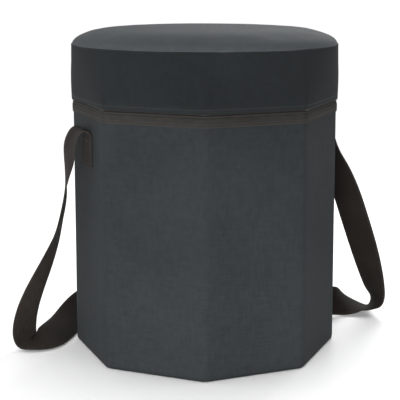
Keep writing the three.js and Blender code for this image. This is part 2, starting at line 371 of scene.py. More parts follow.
class Nodes:
    """Adds nodes to a shader tree and joins them."""

    # numbers of outputs, and of the inputs of a mix, where several have the same name
    TEXTURE_SHARE, PRODUCT, ATTRIBUTE_VALUE, OBJECT_PLACE = 1, 1, 2, 3
    MIX_SHARE, MIX_FIRST, MIX_SECOND, MIX_COLOUR = 0, 6, 7, 2

    def __init__(self, tree: bpy.types.NodeTree) -> None:
        """Starts with the tree as it is."""
        self.tree = tree

    def put(self, socket: Socket, value: object) -> None:
        """Joins a socket to another, or sets it."""
        if isinstance(value, Socket):
            self.tree.links.new(value, socket)
        else:
            socket.default_value = value

    def add(self, kind: str, *values: object, out: int = 0, **named: object) -> Socket:
        """Adds a node.

        Args:
            kind: The node's type, without its prefix.
            values: What goes into its first sockets.
            out: Which of its outputs is wanted.
            named: Sockets by name, with a capital, and settings by name, in small letters.
        Returns:
            The output.
        """
        node = self.tree.nodes.new("ShaderNode" + kind)
        for key, value in named.items():
            if key[0].islower():
                setattr(node, key, value)
        for socket, value in zip(node.inputs, values):
            self.put(socket, value)
        for key, value in named.items():
            if key[0].isupper():
                self.put(node.inputs[key.replace("_", " ")], value)
        return node.outputs[out]

    def calc(self, operation: str, *values: object) -> Socket:
        """Adds a sum, product or other calculation."""
        return self.add("Math", *values, operation=operation)

    def total(self, *parts: tuple[Socket, float]) -> Socket:
        """A sum of parts, each times its weight."""
        (first, weight), *others = parts
        result = self.calc("MULTIPLY", first, weight)
        for part, weight in others:
            result = self.calc("MULTIPLY_ADD", part, weight, result)
        return result

    def ramp(self, share: Socket, *stops: tuple[float, Colour]) -> Socket:
        """Colours along a share, each with the place where it is reached."""
        output = self.add("ValToRGB", share)
        elements = output.node.color_ramp.elements
        while len(elements) < len(stops):
            elements.new(0.5)
        for element, (place, colour) in zip(elements, stops):
            element.position = place
            element.color = (*colour, 1.0)
        return output


class Recipe(Nodes):
    """The nodes of one material."""

    def __init__(self, name: str) -> None:
        """Starts a material with a principled surface."""
        self.material = bpy.data.materials.new(name)
        self.material.use_nodes = True
        super().__init__(self.material.node_tree)
        self.surface = self.tree.nodes["Principled BSDF"]

    def weave(self) -> Socket:
        """The place on the cloth, in metres across and along."""
        return self.add("UVMap", uv_map=WEAVE_MAP)

    def place(self) -> Socket:
        """The place in the piece's own frame."""
        return self.add("TexCoord", out=self.OBJECT_PLACE)

    def stretched(self, vector: Socket, scale: Triple, turn: float = 0.0) -> Socket:
        """A scaled and turned copy of a place."""
        return self.add("Mapping", vector, Scale=scale, Rotation=(0.0, 0.0, turn))

    def grain(self, vector: Socket, scale: float, detail: float = 2.0) -> Socket:
        """Soft noise of that scale, from 0 to 1."""
        return self.add("TexNoise", Vector=vector, Scale=scale, Detail=detail)

    def threads(self, vector: Socket, pitch: float, direction: str) -> Socket:
        """Rounded threads side by side.

        Args:
            vector: The place on the cloth.
            pitch: From one thread to the next.
            direction: X or Y, the way across them.
        Returns:
            Their height, from 0 to 1.
        """
        turns_per_scale = 20.0
        return self.add(
            "TexWave",
            Vector=vector,
            Scale=math.tau / (turns_per_scale * pitch),
            Phase_Offset=-math.pi / 2,
            wave_type="BANDS",
            bands_direction=direction,
            wave_profile="SIN",
            out=self.TEXTURE_SHARE,
        )

    def between(self, share: Socket, low: float, high: float) -> Socket:
        """A share, turned into a value from low to high."""
        return self.add("MapRange", share, 0.0, 1.0, low, high)

    def worn_and_painted_light(self, colour: Socket, rubbed: Colour, fibre: Socket) -> Socket:
        """A colour that gives way to a paler one, fibre by fibre, where the mask marks scuffing and painted
        light.
        """
        wear_and_painted_light = self.add("Attribute", attribute_name=WEAR_AND_PAINTED_LIGHT, out=self.ATTRIBUTE_VALUE)
        share = self.calc("MULTIPLY", wear_and_painted_light, fibre)
        node = self.tree.nodes.new("ShaderNodeMix")
        node.data_type = "RGBA"
        self.put(node.inputs[self.MIX_SHARE], share)
        self.put(node.inputs[self.MIX_FIRST], colour)
        self.put(node.inputs[self.MIX_SECOND], (*rubbed, 1.0))
        return node.outputs[self.MIX_COLOUR]

    def dress(
        self, colour: Socket, roughness: Socket, height: Socket, relief: float, **constants: object
    ) -> Finish:
        """Joins what was made to the surface.

        Args:
            colour: The base colour.
            roughness: The roughness.
            height: The fine relief, from 0 to 1.
            relief: What a height of 1 measures, in metres.
            constants: Other sockets of the surface, each the same all over.
        Returns:
            The material.
        """
        inputs = self.surface.inputs
        self.put(inputs["Base Color"], colour)
        self.put(inputs["Roughness"], roughness)
        self.put(inputs["Normal"], self.add("Bump", Height=height, Distance=relief, Strength=1.0))
        for key, value in constants.items():
            self.put(inputs[key.replace("_", " ")], value)
        return self.material


@dataclass(frozen=True)
class WovenCloth:
    """Plain-woven polyester cloth with uneven yarn."""

    name: str
    yarn: Colour
    hollow: Colour
    rubbed: Colour
    pitch: float = 1.0 * MM
    relief: float = 0.22 * MM
    slub_scale: float = 700.0
    slub_draw: float = 0.06
    mottle_scale: float = 150.0
    patch_scale: float = 9.0
    hollow_tone: float = 0.36
    roughness: Pair = (0.74, 0.92)
    sheen: float = 0.015
    sheen_roughness: float = 0.45
    gloss: float = 0.035

    def material(self) -> Finish:
        """Makes the material.

        Returns:
            The cloth: crossed yarns with slubs, a broad unevenness of tone, and paler places where the mask
                marks scuffing and painted light.
        """
        recipe = Recipe(self.name)
        cloth, place = recipe.weave(), recipe.place()
        over = recipe.add("TexChecker", Vector=cloth, Scale=1.0 / self.pitch, out=recipe.TEXTURE_SHARE)
        warp = recipe.threads(cloth, self.pitch, "X")
        weft = recipe.threads(cloth, self.pitch, "Y")
        yarns = recipe.calc("ADD", recipe.calc("MULTIPLY", warp, over),
                            recipe.calc("MULTIPLY", weft, recipe.calc("SUBTRACT", 1.0, over)))
        upright = recipe.grain(recipe.stretched(cloth, (1.0, self.slub_draw, 1.0)), self.slub_scale)
        level = recipe.grain(recipe.stretched(cloth, (self.slub_draw, 1.0, 1.0)), self.slub_scale)
        slubs = recipe.total((upright, 0.5), (level, 0.5))
        mottle = recipe.grain(place, self.mottle_scale, 4.0)
        patches = recipe.grain(place, self.patch_scale, 3.0)
        tone = recipe.total((yarns, 0.34), (slubs, 0.36), (mottle, 0.3), (patches, 0.42))
        colour = recipe.ramp(tone, (self.hollow_tone, self.hollow), (1.0, self.yarn))
        return recipe.dress(
            recipe.worn_and_painted_light(colour, self.rubbed, slubs),
            recipe.between(slubs, *self.roughness),
            recipe.total((yarns, 0.5), (slubs, 0.8)),
            self.relief,
            Sheen_Weight=self.sheen,
            Sheen_Roughness=self.sheen_roughness,
            Specular_IOR_Level=self.gloss,
        )


@dataclass(frozen=True)
class RibbedWebbing:
    """Flat-woven strap webbing with ribs along it."""

    name: str
    yarn: Colour
    hollow: Colour
    rib: float = 2.4 * MM
    pick: float = 1.5 * MM
    slant: float = math.radians(32.0)
    relief: float = 0.3 * MM
    fibre_scale: float = 900.0
    fibre_draw: float = 0.1
    patch_scale: float = 24.0
    paling: float = 2.2
    roughness: Pair = (0.62, 0.82)
    sheen: float = 0.01
    sheen_roughness: float = 0.4
    gloss: float = 0.05

    def material(self) -> Finish:
        """Makes the material.

        Returns:
            The webbing: ribs along the strap, crossed by picks, with paler scuffed edges and paler painted
                light where the mask marks it.
        """
        recipe = Recipe(self.name)
        cloth = recipe.weave()
        ribs = recipe.threads(cloth, self.rib, "X")
        picks = recipe.threads(recipe.stretched(cloth, (1.0, 1.0, 1.0), self.slant), self.pick, "Y")
        fibre = recipe.grain(recipe.stretched(cloth, (1.0, self.fibre_draw, 1.0)), self.fibre_scale)
        patches = recipe.grain(recipe.place(), self.patch_scale, 3.0)
        weave = recipe.total((ribs, 0.55), (picks, 0.45))
        tone = recipe.total((weave, 0.5), (fibre, 0.3), (patches, 0.4))
        colour = recipe.ramp(tone, (0.28, self.hollow), (0.95, self.yarn))
        red, green, blue = (self.paling * part for part in self.yarn)
        return recipe.dress(
            recipe.worn_and_painted_light(colour, (red, green, blue), fibre),
            recipe.between(fibre, *self.roughness),
            weave,
            self.relief,
            Sheen_Weight=self.sheen,
            Sheen_Roughness=self.sheen_roughness,
            Specular_IOR_Level=self.gloss,
        )


@dataclass(frozen=True)
class CrinkledFoil:
    """Silver film on foam, creased and embossed."""

    name: str
    bright: Colour = (0.56, 0.57, 0.58)
    dull: Colour = (0.3, 0.308, 0.32)
    emboss: float = 6.0 * MM
    relief: float = 1.2 * MM
    soft_scale: float = 60.0
    patch_scale: float = 14.0
    crease_scale: float = 34.0
    crease_draw: Triple = (1.0, 0.45, 0.6)
    crease_slant: float = math.radians(28.0)
    crease_width: float = 0.08
    roughness: Pair = (0.42, 0.2)
    metallic: float = 0.92

    def material(self) -> Finish:
        """Makes the material.

        Returns:
            The film: a fine embossed grid, creases with painted shade along them, and finger-dulled patches.
        """
        recipe = Recipe(self.name)
        cloth, place = recipe.weave(), recipe.place()
        grid = recipe.calc("MULTIPLY", *(recipe.threads(cloth, self.emboss, way) for way in "XY"))
        soft = recipe.grain(place, self.soft_scale, 4.0)
        dulled = recipe.grain(place, self.patch_scale, 3.0)
        drawn = recipe.stretched(place, self.crease_draw, self.crease_slant)
        creases = recipe.add("TexVoronoi", Vector=drawn, Scale=self.crease_scale, feature="DISTANCE_TO_EDGE")
        ridges = recipe.add("MapRange", creases, 0.0, self.crease_width, 1.0, 0.0)
        ridges = recipe.calc("MULTIPLY", ridges, recipe.add("MapRange", soft, 0.4, 0.6, 0.0, 1.0))
        # painted shade: the colour is darkened along the creases
        shade = recipe.total((dulled, 1.0), (soft, 0.3), (ridges, -0.12))
        return recipe.dress(
            recipe.ramp(shade, (0.42, self.dull), (0.8, self.bright)),
            recipe.between(dulled, *self.roughness),
            recipe.total((soft, 0.9), (ridges, 0.35), (grid, 0.14)),
            self.relief,
            Metallic=self.metallic,
        )


@dataclass(frozen=True)
class Grained:
    """A plain stuff with grain: metal, nylon, thread, board or foam."""

    name: str
    light: Colour
    dark: Colour
    scale: float
    relief: float
    roughness: Pair
    metallic: float = 0.0
    streak: float = 1.0
    patch_size: float = 9.0

    def material(self) -> Finish:
        """Makes the material.

        Returns:
            The stuff, with grain in its colour, its roughness and its relief.
        """
        recipe = Recipe(self.name)
        place = recipe.place()
        fine = recipe.grain(recipe.stretched(place, (1.0, 1.0, self.streak)), self.scale, 4.0)
        patches = recipe.grain(place, self.scale / self.patch_size, 3.0)
        tone = recipe.total((fine, 0.5), (patches, 0.5))
        return recipe.dress(
            recipe.ramp(tone, (0.3, self.dark), (0.7, self.light)),
            recipe.between(fine, *self.roughness),
            fine,
            self.relief,
            Metallic=self.metallic,
        )


@dataclass(frozen=True)
class Wardrobe:
    """Every finish on the stool, each made once."""

    wall: Finish
    band: Finish
    seat: Finish
    zip: Finish
    webbing: Finish
    foil: Finish
    thread: Finish
    coil: Finish
    metal: Finish
    board: Finish
    foam: Finish

    @classmethod
    def stocked(cls) -> "Wardrobe":
        """Makes every material.

        Returns:
            The finishes.
        """
        wall = WovenCloth(
            "charcoal_wall_cloth",
            yarn=(0.028, 0.0324, 0.0344),
            hollow=(0.0084, 0.0099, 0.0105),
            rubbed=(0.055, 0.0616, 0.065),
        )
        # Painted shade: the band's cloth is a darker copy of the wall cloth, standing in for the shade on
        # the band, which faces a little downwards; the seam welt and the cloth hinge use it too.
        band = WovenCloth(
            "charcoal_band_cloth_painted_shade",
            yarn=(0.0168, 0.0194, 0.0205),
            hollow=(0.0057, 0.0066, 0.007),
            rubbed=(0.03, 0.0335, 0.0352),
        )
        # Painted light: the seat's cloth is a paler copy of the wall cloth, standing in for the light that
        # falls on the top of the lid.
        seat = WovenCloth(
            "charcoal_seat_cloth_painted_light",
            yarn=(0.055, 0.0625, 0.0665),
            hollow=(0.0262, 0.0298, 0.0318),
            rubbed=(0.08, 0.0885, 0.093),
            gloss=0.08,
        )
        tape = WovenCloth(
            "brown_black_zip_tape",
            yarn=(0.0332, 0.0312, 0.0286),
            hollow=(0.0096, 0.009, 0.0082),
            rubbed=(0.046, 0.0432, 0.04),
            pitch=1.3 * MM,
        )
        webbing = RibbedWebbing("warm_black_webbing", (0.026, 0.0216, 0.0186), (0.0048, 0.004, 0.0035))
        thread = Grained(
            "dark_sewing_thread", light=(0.026, 0.027, 0.028), dark=(0.011, 0.0115, 0.012),
            scale=2500.0, relief=0.1 * MM, roughness=(0.5, 0.75),
        )
        coil = Grained(
            "black_nylon_coil", light=(0.022, 0.021, 0.02), dark=(0.01, 0.01, 0.01),
            scale=900.0, relief=0.04 * MM, roughness=(0.35, 0.5),
        )
        metal = Grained(
            "dark_lacquered_zinc", light=(0.12, 0.12, 0.125), dark=(0.05, 0.05, 0.053),
            scale=700.0, relief=0.03 * MM, roughness=(0.25, 0.45), metallic=0.85,
        )
        board = Grained(
            "pressed_fibreboard", light=(0.3, 0.24, 0.16), dark=(0.16, 0.12, 0.08),
            scale=420.0, relief=0.15 * MM, roughness=(0.8, 0.95), streak=0.2,
        )
        foam = Grained(
            "pale_open_cell_foam", light=(0.72, 0.69, 0.6), dark=(0.5, 0.47, 0.4),
            scale=1100.0, relief=0.5 * MM, roughness=(0.85, 0.98),
        )
        stuffs = (wall, band, seat, tape, webbing, CrinkledFoil("silver_lining_film"),
                  thread, coil, metal, board, foam)
        return cls(*(stuff.material() for stuff in stuffs))


@dataclass(frozen=True)
class Outline:
    """The eight-sided outline, with rounded corners.

    A station counts walls: a whole number is the middle of that wall, and a half past it is the
    corner to the next wall.
    """

    size: float
    rounding: float
    bend: float = 0.06
    corner_reach: float = 0.07
    least_rounding: float = 0.4 * MM

    @property
    def flat(self) -> float:
        """How far the straight part of a wall reaches from its middle, in stations."""
        return 0.5 - self.bend

    def place(self, station: float, size: float | None = None) -> tuple[Vector, Vector]:
        """A point of the outline, or of one set in or out from it.

        Args:
            station: The station.
            size: Distance from the axis to the wall, where it isn't the outline's own.
        Returns:
            The point, at height 0, and the outward direction there.
        """
        across = self.size if size is None else size
        rounding = max(self.rounding + across - self.size, self.least_rounding)
        wall = math.floor(station)
        share = station - wall
        straight = (across - rounding) * HALF_TAN
        if share <= self.flat:
            out = level_direction(wall * WALL_TURN)
            return out * across + UP.cross(out) * (straight * share / self.flat), out
        if share >= 1.0 - self.flat:
            out = level_direction((wall + 1) * WALL_TURN)
            return out * across - UP.cross(out) * (straight * (1.0 - share) / self.flat), out
        out = level_direction((wall + (share - self.flat) / (2.0 * self.bend)) * WALL_TURN)
        centre = level_direction((wall + 0.5) * WALL_TURN) * ((across - rounding) / HALF_COS)
        return centre + out * rounding, out

    @property
    def side(self) -> float:
        """The length of the outline from the middle of one wall to the middle of the next."""
        return 2.0 * (self.size - self.rounding) * HALF_TAN + self.rounding * WALL_TURN

    def run(self, station: float) -> float:
        """The length of the outline from station 0 to that station."""
        wall = math.floor(station)
        share = station - wall
        straight = (self.size - self.rounding) * HALF_TAN
        along = min(share / self.flat, 1.0) * straight
        turned = min(max((share - self.flat) / (2.0 * self.bend), 0.0), 1.0)
        along += turned * self.rounding * WALL_TURN
        along += max((share - 1.0 + self.flat) / self.flat, 0.0) * straight
        return wall * self.side + along

    def stations(self, first: float, last: float, straight_steps: int, round_steps: int) -> list[float]:
        """Stations from one half or whole station to another, close together round the corners.

        Args:
            first: The first station.
            last: The last station.
            straight_steps: Steps on each half of a wall.
            round_steps: Steps on each half of a rounded corner.
        Returns:
            The stations, in order.
        """
        found = [first]
        for half in range(round(2 * first), round(2 * last)):
            start, end = half / 2, (half + 1) / 2
            if half % 2 == 0:
                bend, steps = end - self.bend, (straight_steps, round_steps)
            else:
                bend, steps = start + self.bend, (round_steps, straight_steps)
            found += spread(start, bend, steps[0])[1:] + spread(bend, end, steps[1])[1:]
        return found

    def near_corner(self, station: float) -> float:
        """How near a corner a station is: 1 in its bend, 0 from about 9 mm away."""
        away = abs(station - math.floor(station) - 0.5) - self.bend
        return 1.0 - smooth(away / self.corner_reach)


@dataclass(frozen=True)
class Edge:
    """A point of a cross-section that is swept round the walls."""

    size: float
    height: float
    soft: float = 0.0
    wear_and_painted_light: float = 0.0


CORNER_HOLD = 0.75  # how much of its relief cloth loses where it is drawn round a corner
CORNER_WEAR = 0.12


def sweep(
    sketch: Sketch,
    outline: Outline,
    stations: Sequence[float],
    section: Sequence[Edge],
    relief: Relief,
    is_ring: bool = False,
) -> None:
    """Sweeps a closed cross-section along the outline.

    Args:
        sketch: Where the points and faces go.
        outline: The outline.
        stations: Where the cross-section is placed.
        section: The cross-section, all the way round it.
        relief: How far soft points stand out, at a place.
        is_ring: Whether the last station joins the first. If not, both ends are closed.
    """
    runs = [0.0]
    for before, after in zip(section, section[1:]):
        runs.append(runs[-1] + math.hypot(after.size - before.size, after.height - before.height))
    rows = []
    for station in stations:
        near = outline.near_corner(station)
        row = []
        for edge, run in zip(section, runs):
            place, out = outline.place(station, edge.size)
            place.z = edge.height
            if edge.soft:
                place += out * (relief(place) * edge.soft * (1.0 - CORNER_HOLD * near))
            wear_and_painted_light = max(edge.wear_and_painted_light, near * edge.soft * CORNER_WEAR)
            row.append(sketch.point(place, (outline.run(station), run), wear_and_painted_light))
        rows.append(row)
    if is_ring:
        sketch.skin(rows, round_rows=True, round_columns=True)
    else:
        sketch.tube(rows)


def cloth_relief(place: Vector) -> float:
    """How far taut cloth stands off its board: long shallow waves and a few slack wrinkles."""
    wave_height, wrinkle_height = 0.55 * MM, 0.22 * MM
    wave = noise.noise(Vector((place.x * 9.0, place.y * 9.0, place.z * 13.0)))
    wrinkle = noise.noise(Vector((place.x * 16.0 + 7.0, place.y * 16.0, place.z * 48.0)))
    return wave_height * wave + wrinkle_height * wrinkle


def film_relief(place: Vector) -> float:
    """How far the lining film stands off its foam: crumples of a few centimetres."""
    crumple_height, fold_depth = 0.45 * MM, 0.8 * MM
    crumple = noise.noise(place * 45.0)
    fold = abs(noise.noise(place * 22.0 + Vector((3.0, 0.0, 0.0))))
    return crumple_height * crumple - fold_depth * fold


OPEN_WALL = Wall.FRONT  # the ring of walls is open at the corner after this wall


@dataclass
class WallWrap(ABC):
    """A layer of cloth round the walls, in a piece for each corner."""

    sizes: StoolSizes
    wardrobe: Wardrobe
    layer: str = ""
    node: str = ""
    slot: str = ""
    rounding: float = 15.0 * MM
    straight_steps: int = 14
    round_steps: int = 6
    bend_reach: float = 11.0 * MM

    @property
    def outline(self) -> Outline:
        """The outline that the layer follows."""
        return Outline(self.sizes.cover, self.rounding)

    @abstractmethod
    def section(self) -> list[Edge]:
        """The layer's cross-section."""

    @abstractmethod
    def finishes(self) -> list[Finish]:
        """The layer's materials."""

    def relief(self, place: Vector) -> float:
        """How far the layer's soft points stand out."""
        return cloth_relief(place)

    def trim(self, sketch: Sketch, first: float, last: float) -> None:
        """Adds what is sewn on the layer between two stations."""

    def sheet_area(self) -> Pair:
        """The flat size of one piece."""
        heights = [edge.height for edge in self.section()]
        return self.outline.side, max(heights) - min(heights)

    def piece(self, name: str, first: float, last: float) -> Piece:
        """Makes the layer's piece between two stations.

        Args:
            name: The piece's name.
            first: The first station.
            last: The last station.
        Returns:
            The piece.
        """
        sketch, outline = Sketch(), self.outline
        stations = outline.stations(first, last, self.straight_steps, self.round_steps)
        sweep(sketch, outline, stations, self.section(), self.relief)
        self.trim(sketch, first, last)
        made = sketch.build(name, self.finishes())
        width, length = self.sheet_area()
        return made

    def build(self) -> None:
        """Makes the whole layer: seven pieces, and two that meet at the open corner, each riding on its
        wall.
        """
        outline = self.outline
        for wall in Wall:
            after = wall.following
            name = f"{self.layer}_{wall.body}"
            if wall is OPEN_WALL:
                near = self.piece(name, wall.value, wall.value + 0.5)
                far = self.piece(f"{self.layer}_{after.body}_edge", wall.value + 0.5, wall.value + 1.0)
                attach(near, wall.body)
                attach(far, after.body)
            else:
                near = self.piece(name, wall.value, wall.value + 1.0)
                corner, out = outline.place(wall.value + 0.5)
                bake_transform(near)
            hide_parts(f"{wall.body}_{self.node}")


@dataclass
class Sleeve(WallWrap):
    """The charcoal cloth outside, turned under at the floor."""

    layer: str = "sleeve"
    node: str = "cover"
    slot: str = "wall_cloth"
    thickness: float = 1.2 * MM
    rise: float = 5.5 * MM
    # Painted light: how much paler the walls are painted at the floor, standing in for light bounced up off
    # the floor.
    dust: float = 0.5
    straight_steps: int = 16
    row_height: float = 5.0 * MM
    foot_ease: float = 30.0 * MM
    head_ease: float = 20.0 * MM

    def section(self) -> list[Edge]:
        """The cloth from under the wall, round its lower edge and up to the zip strip."""
        face, top = self.sizes.cover, self.sizes.wall_top
        turned = ((8.6, 0.9, 0.0), (6.0, 0.35, 0.0), (3.2, 0.15, 0.1), (1.6, 0.75, 0.2), (0.55, 2.2, 0.15))
        outside = [Edge(face - inset * MM, height * MM, 0.0, wear_and_painted_light) for inset, height, wear_and_painted_light in turned]
        for height in spread(self.rise, top, round((top - self.rise) / self.row_height)):
            soft = smooth((height - self.rise) / self.foot_ease) * smooth((top - height) / self.head_ease)
            # painted bounce light: paler low down, fading out towards the top of the wall
            outside.append(Edge(face, height, soft, self.dust * (1.0 - height / top)))
        back = face - self.thickness
        inside = [Edge(back, top), Edge(back, self.rise), Edge(back - 0.1 * MM, 2.6 * MM)]
        hidden = ((1.9, 1.75), (3.4, 1.45), (8.6, 1.75))
        inside += [Edge(face - inset * MM, height * MM) for inset, height in hidden]
        return outside + inside

    def finishes(self) -> list[Finish]:
        """Charcoal cloth."""
        return [self.wardrobe.wall]


@dataclass
class ZipStrip(WallWrap):
    """The brown black tape round the mouth, folded over the tops of the walls."""

    layer: str = "zip_strip"
    node: str = "zip_strip"
    slot: str = "zip_cloth"
    lip: float = 1.7 * MM
    turn_down: float = 13.5 * MM
    stitch_pitch: float = 4.2 * MM
    stitch_width: float = 0.75 * MM
    tuck: float = 0.9 * MM

    @property
    def face(self) -> float:
        """The tape's face, drawn in a little by its stitches, from the axis."""
        return self.sizes.strip - self.tuck

    def section(self) -> list[Edge]:
        """The tape, from its lip on the sleeve, over the wall's top and down inside."""
        face, proud, inner, top = self.sizes.cover, self.face, self.sizes.inner, self.sizes.strip_top
        low = self.sizes.wall_top - self.lip
        crest = top + 0.32 * MM
        under = top + 0.04 * MM
        inside = inner - 0.85 * MM
        back = face - 1.2 * MM
        step = self.sizes.wall_top + 0.25 * MM
        return [
            Edge(face + 0.15 * MM, low + 0.3 * MM),
            Edge(face + 0.7 * MM, low, 0.0, 0.5),
            Edge(face + 1.1 * MM, low + 0.6 * MM, 0.3, 0.6),
            Edge(proud - 0.1 * MM, low + 2.4 * MM, 0.3),
            Edge(proud, low + 4.6 * MM, 0.4),
            Edge(proud, top - 4.6 * MM, 0.4),
            Edge(proud - 0.3 * MM, top - 2.9 * MM),
            Edge(proud - 1.0 * MM, top - 2.2 * MM),
            Edge(proud - 0.45 * MM, top - 1.5 * MM, 0.0, 0.5),
            Edge(proud - 0.6 * MM, top - 0.6 * MM, 0.0, 0.4),
            Edge(proud - 1.3 * MM, top, 0.0, 0.3),
            Edge(face - 0.4 * MM, crest),
            Edge(inner + 1.0 * MM, crest),
            Edge(inner - 0.3 * MM, top, 0.0, 0.4),
            Edge(inside, top - 1.0 * MM),
            Edge(inside - 0.1 * MM, top - self.turn_down / 2),
            Edge(inside, top - self.turn_down + 0.5 * MM),
            Edge(inner - 0.65 * MM, top - self.turn_down, 0.0, 0.5),
            Edge(inner - 0.5 * MM, top - self.turn_down + 0.4 * MM),
            Edge(inner - 0.5 * MM, under),
            Edge(back, under),
            Edge(back, step),
            Edge(face + 0.15 * MM, step),
        ]

    def finishes(self) -> list[Finish]:
        """Zip tape, sewn with dark thread."""
        return [self.wardrobe.zip, self.wardrobe.thread]

    def sheet_area(self) -> Pair:
        """The tape's flat width is its lip, its face, the wall's thickness and its turn down inside."""
        face = self.sizes.strip_top - self.sizes.wall_top + self.lip
        return self.outline.side, face + self.sizes.strip - self.sizes.inner + self.turn_down

    def trim(self, sketch: Sketch, first: float, last: float) -> None:
        """Adds a row of stitches along the lip."""
        outline = self.outline
        count = max(round(outline.side * (last - first) / self.stitch_pitch), 2)
        holes = []
        for station in spread(first, last, count):
            place, out = outline.place(station, self.face + 0.02 * MM)
            place.z = self.sizes.wall_top + 2.0 * MM
            holes.append((place, out))
        sketch.stitches(holes, self.stitch_width)


@dataclass
class FoilLining(WallWrap):
    """The silver film inside the walls."""

    layer: str = "lining"
    node: str = "insulation"
    slot: str = "foil"
    rounding: float = 6.0 * MM
    thickness: float = 0.4 * MM
    clearance: float = 0.05 * MM
    rows: int = 48
    ease: float = 20.0 * MM
    covered: float = 18.0 * MM

    @property
    def outline(self) -> Outline:
        """The outline of the walls' insides."""
        return Outline(self.sizes.inner, self.rounding)

    def section(self) -> list[Edge]:
        """The film, from the floor up to the tops of the walls, flat where the tape covers it."""
        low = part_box("base_lining")[1].z + 0.25 * MM
        top = self.sizes.strip_top - 0.3 * MM
        back = self.sizes.inner - self.clearance
        face = back - self.thickness
        shown = []
        for height in spread(low, top, self.rows):
            soft = smooth((height - low) / self.ease) * smooth((top - self.covered - height) / self.ease)
            shown.append(Edge(face, height, soft))
        return shown + [Edge(back, top), Edge(back, low)]

    def relief(self, place: Vector) -> float:
        """Crumpled film, towards the inside."""
        return film_relief(place)

    def finishes(self) -> list[Finish]:
        """Silver film."""
        return [self.wardrobe.foil]


PAD_RINGS = 16
PAD_EASE = 0.1  # the outer share of a pad in which its relief dies away


def octagon_pad(
    sketch: Sketch, outline: Outline, low: float, high: float, edge: float, relief: Relief
) -> None:
    """Adds a flat eight-sided pad with soft edges.

    Args:
        sketch: Where the points and faces go.
        outline: The pad's outline.
        low: Height of its underside.
        high: Height of its top.
        edge: How far its edge rounds in.
        relief: How far its top and underside stand out, at a place.
    """
    stations = outline.stations(0, WALLS, 4, 2)[:-1]

    def ring(share: float, height: float, lift: float) -> list[int]:
        """Adds a ring of points at a share of the way out, lifted by a share of the relief."""
        row = []
        for station in stations:
            place = outline.place(station)[0] * share
            place.z = height
            place.z += relief(place) * lift
            row.append(sketch.point(place, (place.x, place.y)))
        return row

    shares = spread(0.0, 1.0 - edge / outline.size, PAD_RINGS)[1:]
    top = [ring(share, high, smooth((1.0 - share) / PAD_EASE)) for share in shares]
    under = [ring(share, low, -smooth((1.0 - share) / PAD_EASE)) for share in shares]
    sketch.skin([*top, ring(1.0, (low + high) / 2, 0.0), *under[::-1]], round_columns=True)
    for rows, height in ((top, high), (under, low)):
        sketch.fan(Vector((0.0, 0.0, height)), rows[0])


@dataclass
class SoftFloor:
    """The floor under the walls: cover, thin pad and film, carried by the back wall."""

    sizes: StoolSizes
    wardrobe: Wardrobe
    rounding: float = 5.0 * MM
    fold_joint: str = "fold_back_right"
    fold_line: float = 136.0 * MM
    fold_slant: float = 0.02
    keep: float = 0.03

    def layer(self, node: str, finish: Finish, edge: float, relief: Relief, slot: str) -> Piece:
        """Makes one layer in the space of its solid.

        Args:
            node: The solid's name.
            finish: The material.
            edge: How far its edge rounds in.
            relief: How far it stands out, at a place.
            slot: Not used.
        Returns:
            The layer.
        """
        low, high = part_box(node)
        sketch = Sketch()
        octagon_pad(sketch, Outline(self.sizes.floor, self.rounding), low.z, high.z, edge, relief)
        piece = sketch.build(f"{node}_layer", [finish])
        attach(piece, Wall.BACK.body)
        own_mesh(piece)
        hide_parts(node)
        return piece

    def build(self) -> None:
        """Makes the three layers."""
        stuffs = self.wardrobe
        cover = self.layer(
            "base_cover", stuffs.wall, 0.5 * MM, lambda place: 0.4 * cloth_relief(place * 2.0), "wall_cloth"
        )
        foam = self.layer("base_foam", stuffs.foam, 3.0 * MM, lambda place: 0.0, "foam")
        film = self.layer(
            "base_lining", stuffs.foil, 0.3 * MM, lambda place: 0.3 * film_relief(place), "foil"
        )


